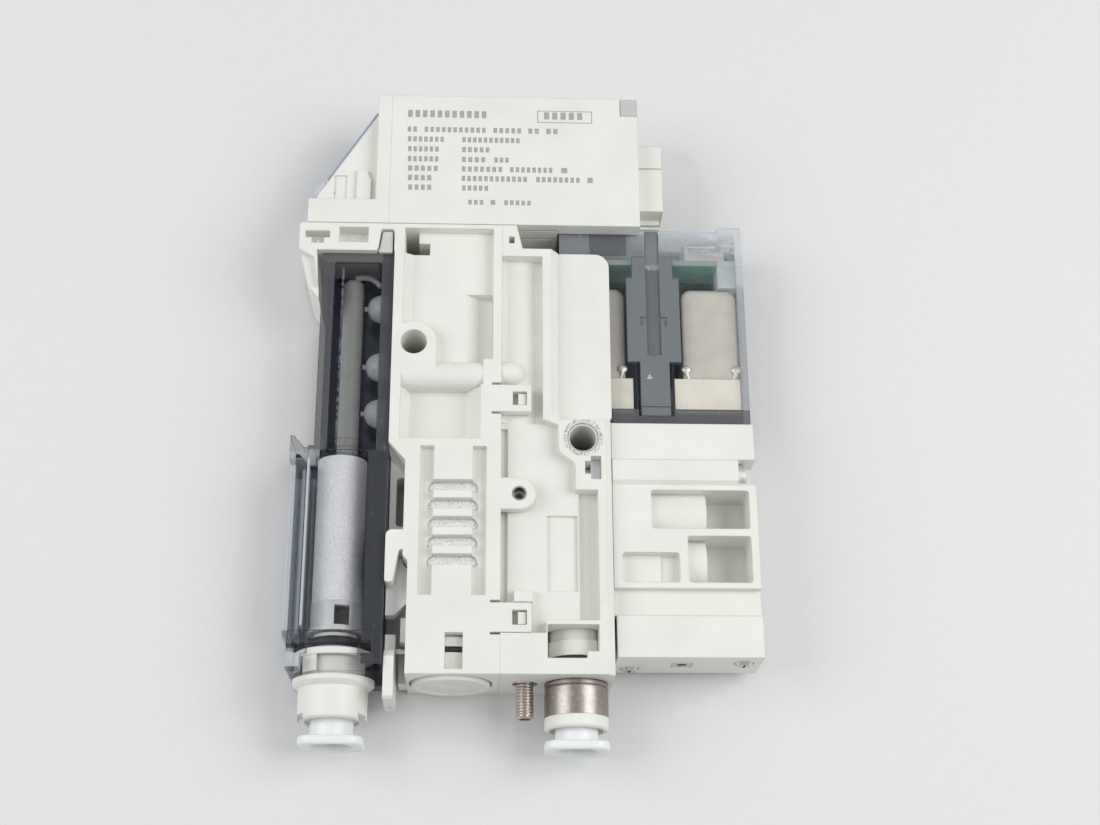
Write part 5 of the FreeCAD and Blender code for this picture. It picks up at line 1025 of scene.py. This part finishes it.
class EJECTOR_OT_release_buttons(bpy.types.Operator):
    """Give the release buttons their soft oval rims"""

    bl_idname = "ejector.release_buttons"
    bl_label = "Release buttons"

    def execute(self, context):
        plastics = context.scene.ejector_plastics
        button = moulded("cool_white_moulding", plastics.button_colour, plastics, 0.2, 0.34)
        for node, body in (("vacuum_port_button", "vacuum_button"), ("supply_port_button", "supply_button")):
            bm = bmesh.new()
            self.button(bm, *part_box(node), plastics.rim_corner / MM)
            make_object(node + "_oval", bm, button, body, (node,))
        return {"FINISHED"}

    def button(self, bm, low, high, corner):
        """Sleeve, neck and bore are round, and the rim is a soft-cornered oval."""
        mouth = low.y / MM
        end = high.y / MM
        half_x = (high.x - low.x) / 2 / MM
        half_z = (high.z - low.z) / 2 / MM
        rim = (
            (0.50, 0.0), (0.25, 0.06), (0.08, 0.20), (0.0, 0.42),
            (0.0, RIM_THICKNESS - 0.35), (0.06, RIM_THICKNESS - 0.15),
            (0.20, RIM_THICKNESS - 0.03), (0.40, RIM_THICKNESS),
        )
        profile = [(BORE_RADIUS, mouth + 0.6), (NECK_RADIUS, mouth + 0.15)]
        profile += [((half_x - inset, half_z - inset, corner - inset), mouth + y) for inset, y in rim]
        profile += [
            (NECK_RADIUS, mouth + RIM_THICKNESS),
            (NECK_RADIUS, end - 0.5),
            (BEAD_RADIUS, end - 0.5),
            (BEAD_RADIUS - 0.3, end),
            (BORE_RADIUS, end),
        ]
        x = (low.x + high.x) / 2 / MM
        z = (low.z + high.z) / 2 / MM
        rows = []
        for size, y in profile:
            if isinstance(size, float):
                rows.append(ring(bm, x, y, z, lambda angle: size, BUTTON_SIDES, 0.5))
            else:
                rows.append(ring(bm, x, y, z, lambda angle: self.oval(angle, *size), BUTTON_SIDES, 0.5))
        grid_faces(bm, rows + rows[:1])

    def oval(self, angle, half_x, half_z, corner):
        """How far a rectangle with round corners reaches from its middle at an angle."""
        across = abs(math.cos(angle))
        along = abs(math.sin(angle))
        if half_x / across * along <= half_z - corner:
            return half_x / across
        if half_z / along * across <= half_x - corner:
            return half_z / along
        centre_x = half_x - corner
        centre_z = half_z - corner
        near = across * centre_x + along * centre_z
        return near + math.sqrt(near * near - centre_x ** 2 - centre_z ** 2 + corner ** 2)


class EJECTOR_OT_pilot_parts(bpy.types.Operator):
    """Finish the coils and the board, and bend the coil leads into their solder"""

    bl_idname = "ejector.pilot_parts"
    bl_label = "Pilot parts"

    def execute(self, context):
        inside = context.scene.ejector_inside
        give(painted_can("coil_can_paint", inside), "pilot_coil_left", "pilot_coil_right")
        give(solder_mask("solder_mask"), "pilot_board", "switch_board")
        self.leads()
        return {"FINISHED"}

    def leads(self):
        """Two wires on each coil, bent outwards and thicker towards their solder."""
        bright = plated("tinned_wire", (0.74, 0.73, 0.71), (1.0, 1.0, 1.0), 0.52, 0.15)
        bm = bmesh.new()
        for can in ("pilot_coil_right", "pilot_coil_left"):
            low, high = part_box(can)
            top = high.z / MM
            for side in (-1, 1):
                corner = low.x / MM + LEAD_INSET if side < 0 else high.x / MM - LEAD_INSET
                foot = corner - side * LEAD_LEAN
                path = []
                for i in range(LEAD_STEPS + 1):
                    t = i / LEAD_STEPS
                    swing = math.sin(t * math.pi / 2)
                    across = foot + (corner - foot) * swing
                    path.append(Vector((across, LEAD_FOOT + LEAD_LENGTH * t, top - 0.5 + 0.55 * swing)))
                rows = tube_rows(bm, path, lambda t: 0.32 + 0.25 * t * t)
                grid_faces(bm, rows)
                bm.faces.new(rows[0])
                bm.faces.new(rows[-1])
                blob = bmesh.ops.create_uvsphere(bm, u_segments=20, v_segments=12, radius=1.0)
                stretch = Matrix.Diagonal((*(size * MM for size in SOLDER_SIZE), 1.0))
                place = Matrix.Translation(Vector((corner, SOLDER_Y, top + 0.02)) * MM)
                bmesh.ops.transform(bm, matrix=place @ stretch, verts=blob["verts"])
        make_object("soldered_leads", bm, bright, UNIT, ("coil_leads",))


class EJECTOR_OT_switch_parts(bpy.types.Operator):
    """Finish the display side and set plain bars where the face carries its print"""

    bl_idname = "ejector.switch_parts"
    bl_label = "Switch parts"

    def execute(self, context):
        give(display_film((0.30, 0.36, 0.44), (0.032, 0.037, 0.042)), "display_window")
        give(printed_sheet("display_glass", (0.03, 0.034, 0.04)), "lcd_panel")
        give(frosted("clear_button", (0.74, 0.79, 0.88), 0.7), "up_button", "set_button", "down_button")
        self.print_rows()
        return {"FINISHED"}

    def print_rows(self):
        """Each row: its middle in y, the height of its bars, and from where to where each word runs."""
        rows = (
            (61.3, 1.45, ((-30.4, -16.0), (-6.2, 1.2))),
            (58.1, 1.05, ((-30.4, -28.4), (-27.4, -16.2), (-15.2, -9.9), (-9.0, -6.7), (-5.8, -3.3))),
            (56.1, 1.05, ((-30.3, -23.6), (-20.7, -10.2))),
            (54.1, 1.05, ((-30.2, -24.5), (-20.7, -15.5))),
            (52.1, 1.05, ((-30.2, -24.5), (-20.7, -16.2), (-15.0, -12.1))),
            (50.2, 1.05, ((-30.1, -24.5), (-20.7, -13.2), (-12.2, -4.4), (-3.2, -1.5))),
            (48.3, 1.05, ((-30.1, -25.6), (-20.7, -8.9), (-7.6, 0.4), (1.4, 2.9))),
            (46.4, 1.05, ((-30.0, -25.6), (-20.6, -15.7))),
            (43.6, 0.95, ((-19.5, -16.5), (-15.6, -14.3), (-13.2, -8.2))),
        )
        bm = bmesh.new()
        for y, height, words in rows:
            for x0, x1 in words:
                self.word(bm, x0, x1, y, height)
        self.box_outline(bm, -7.4, 2.4, 59.85, 62.35, PRINT_LINE)
        dark = ink("grey_ink", (0.26, 0.26, 0.26))
        make_object("print_rows", bm, dark, UNIT, (), False)

    def word(self, bm, x0, x1, y, height):
        """One word as a row of plain upright bars."""
        count = max(1, int((x1 - x0) / (height * 0.9)))
        pitch = (x1 - x0) / count
        for i in range(count):
            left = x0 + i * pitch
            self.bar(bm, left, left + pitch * 0.62, y - height / 2, y + height / 2)

    def box_outline(self, bm, x0, x1, y0, y1, line):
        """Plain frame of four bars."""
        self.bar(bm, x0, x1, y0, y0 + line)
        self.bar(bm, x0, x1, y1 - line, y1)
        self.bar(bm, x0, x0 + line, y0 + line, y1 - line)
        self.bar(bm, x1 - line, x1, y0 + line, y1 - line)

    def bar(self, bm, x0, x1, y0, y1):
        """Flat bar that stands a little out of the front face."""
        z0 = FRONT_Z - PRINT_DEPTH
        z1 = FRONT_Z + PRINT_HEIGHT
        made = bmesh.ops.create_cube(bm, size=1.0)
        size = Matrix.Diagonal(((x1 - x0) * MM, (y1 - y0) * MM, (z1 - z0) * MM, 1.0))
        middle = Vector(((x0 + x1) / 2, (y0 + y1) / 2, (z0 + z1) / 2)) * MM
        bmesh.ops.transform(bm, matrix=Matrix.Translation(middle) @ size, verts=made["verts"])


class EJECTOR_OT_stage(bpy.types.Operator):
    """Lay the floor, hang the lights and set the camera"""

    bl_idname = "ejector.stage"
    bl_label = "Stage"

    def execute(self, context):
        stage = context.scene.ejector_stage
        self.floor(stage)
        self.world()
        self.light("key_light", KEY_PLACE, stage.key_power)
        self.light("fill_light", FILL_PLACE, stage.key_power * stage.fill_share)
        self.camera(context, stage)
        context.scene.view_settings.view_transform = "Standard"
        return {"FINISHED"}

    def floor_finish(self, colour):
        """Matt paint with a faint cloudiness."""
        f = Finish("floor_paint")
        grain = f.noise(0.4, 3.0)
        tone = f.mix(grain, colour, deeper(colour, 0.97))
        return f.done(tone, 0.8)

    def floor(self, stage):
        bm = bmesh.new()
        bmesh.ops.create_grid(bm, x_segments=2, y_segments=2, size=FLOOR_HALF)
        mesh = bpy.data.meshes.new("floor")
        bm.to_mesh(mesh)
        bm.free()
        mesh.materials.append(self.floor_finish(stage.floor_colour))
        floor = bpy.data.objects.new("floor", mesh)
        floor.location = (0.0, 0.0, CAD_BOX[0][2])
        bpy.context.scene.collection.objects.link(floor)

    def world(self):
        world = bpy.data.worlds.new("studio")
        bpy.context.scene.world = world
        world.use_nodes = True
        tree = world.node_tree
        tree.nodes.clear()
        background = tree.nodes.new("ShaderNodeBackground")
        background.inputs["Color"].default_value = WORLD_COLOUR
        background.inputs["Strength"].default_value = WORLD_STRENGTH
        output = tree.nodes.new("ShaderNodeOutputWorld")
        tree.links.new(background.outputs["Background"], output.inputs["Surface"])

    def light(self, name, place, power):
        data = bpy.data.lights.new(name, "AREA")
        data.shape = "SQUARE"
        data.size = LIGHT_SIDE
        data.energy = power
        lamp = bpy.data.objects.new(name, data)
        lamp.location = place
        aim = Vector(LIGHT_AIM) - Vector(place)
        lamp.rotation_euler = aim.to_track_quat("-Z", "Y").to_euler()
        bpy.context.scene.collection.objects.link(lamp)

    def camera(self, context, stage):
        data = bpy.data.cameras.new("camera")
        data.sensor_fit = "HORIZONTAL"
        data.sensor_width = 36.0
        data.lens = stage.lens
        data.clip_start = 0.01
        camera = bpy.data.objects.new("camera", data)
        forward = Vector(CAMERA_FORWARD).normalized()
        right = forward.cross(Vector(CAMERA_UP)).normalized()
        up = right.cross(forward)
        turn = Matrix((right, up, -forward)).transposed().to_4x4()
        camera.matrix_world = Matrix.Translation(Vector(CAMERA_PLACE)) @ turn
        context.scene.collection.objects.link(camera)
        context.scene.camera = camera


class EJECTOR_PT_panel(bpy.types.Panel):
    """Sizes, colours and pieces of the ejector unit"""

    bl_label = "Ejector"
    bl_idname = "EJECTOR_PT_panel"
    bl_space_type = "VIEW_3D"
    bl_region_type = "UI"
    bl_category = "Ejector"

    def draw(self, context):
        layout = self.layout
        for group in GROUPS:
            settings = getattr(context.scene, group)
            for key in settings.bl_rna.properties.keys():
                if key not in ("rna_type", "name"):
                    layout.prop(settings, key)
        for operator in OPERATORS:
            layout.operator(operator.bl_idname)


GROUPS = {
    "ejector_plastics": PlasticSettings,
    "ejector_clear": ClearSettings,
    "ejector_inside": InsideSettings,
    "ejector_stage": StageSettings,
}
OPERATORS = (
    EJECTOR_OT_mouldings,
    EJECTOR_OT_clear_parts,
    EJECTOR_OT_porous_parts,
    EJECTOR_OT_metal_parts,
    EJECTOR_OT_adjusting_screw,
    EJECTOR_OT_release_buttons,
    EJECTOR_OT_pilot_parts,
    EJECTOR_OT_switch_parts,
    EJECTOR_OT_stage,
)


def register():
    for group, kind in GROUPS.items():
        bpy.utils.register_class(kind)
        setattr(bpy.types.Scene, group, bpy.props.PointerProperty(type=kind))
    for operator in OPERATORS:
        bpy.utils.register_class(operator)
    bpy.utils.register_class(EJECTOR_PT_panel)


def unregister():
    bpy.utils.unregister_class(EJECTOR_PT_panel)
    for operator in reversed(OPERATORS):
        bpy.utils.unregister_class(operator)
    for group, kind in GROUPS.items():
        delattr(bpy.types.Scene, group)
        bpy.utils.unregister_class(kind)


def main():
    register()
    bpy.ops.ejector.mouldings()
    bpy.ops.ejector.clear_parts()
    bpy.ops.ejector.porous_parts()
    bpy.ops.ejector.metal_parts()
    bpy.ops.ejector.adjusting_screw()
    bpy.ops.ejector.release_buttons()
    bpy.ops.ejector.pilot_parts()
    bpy.ops.ejector.switch_parts()
    bpy.ops.ejector.stage()


if __name__ == "__main__":
    main()
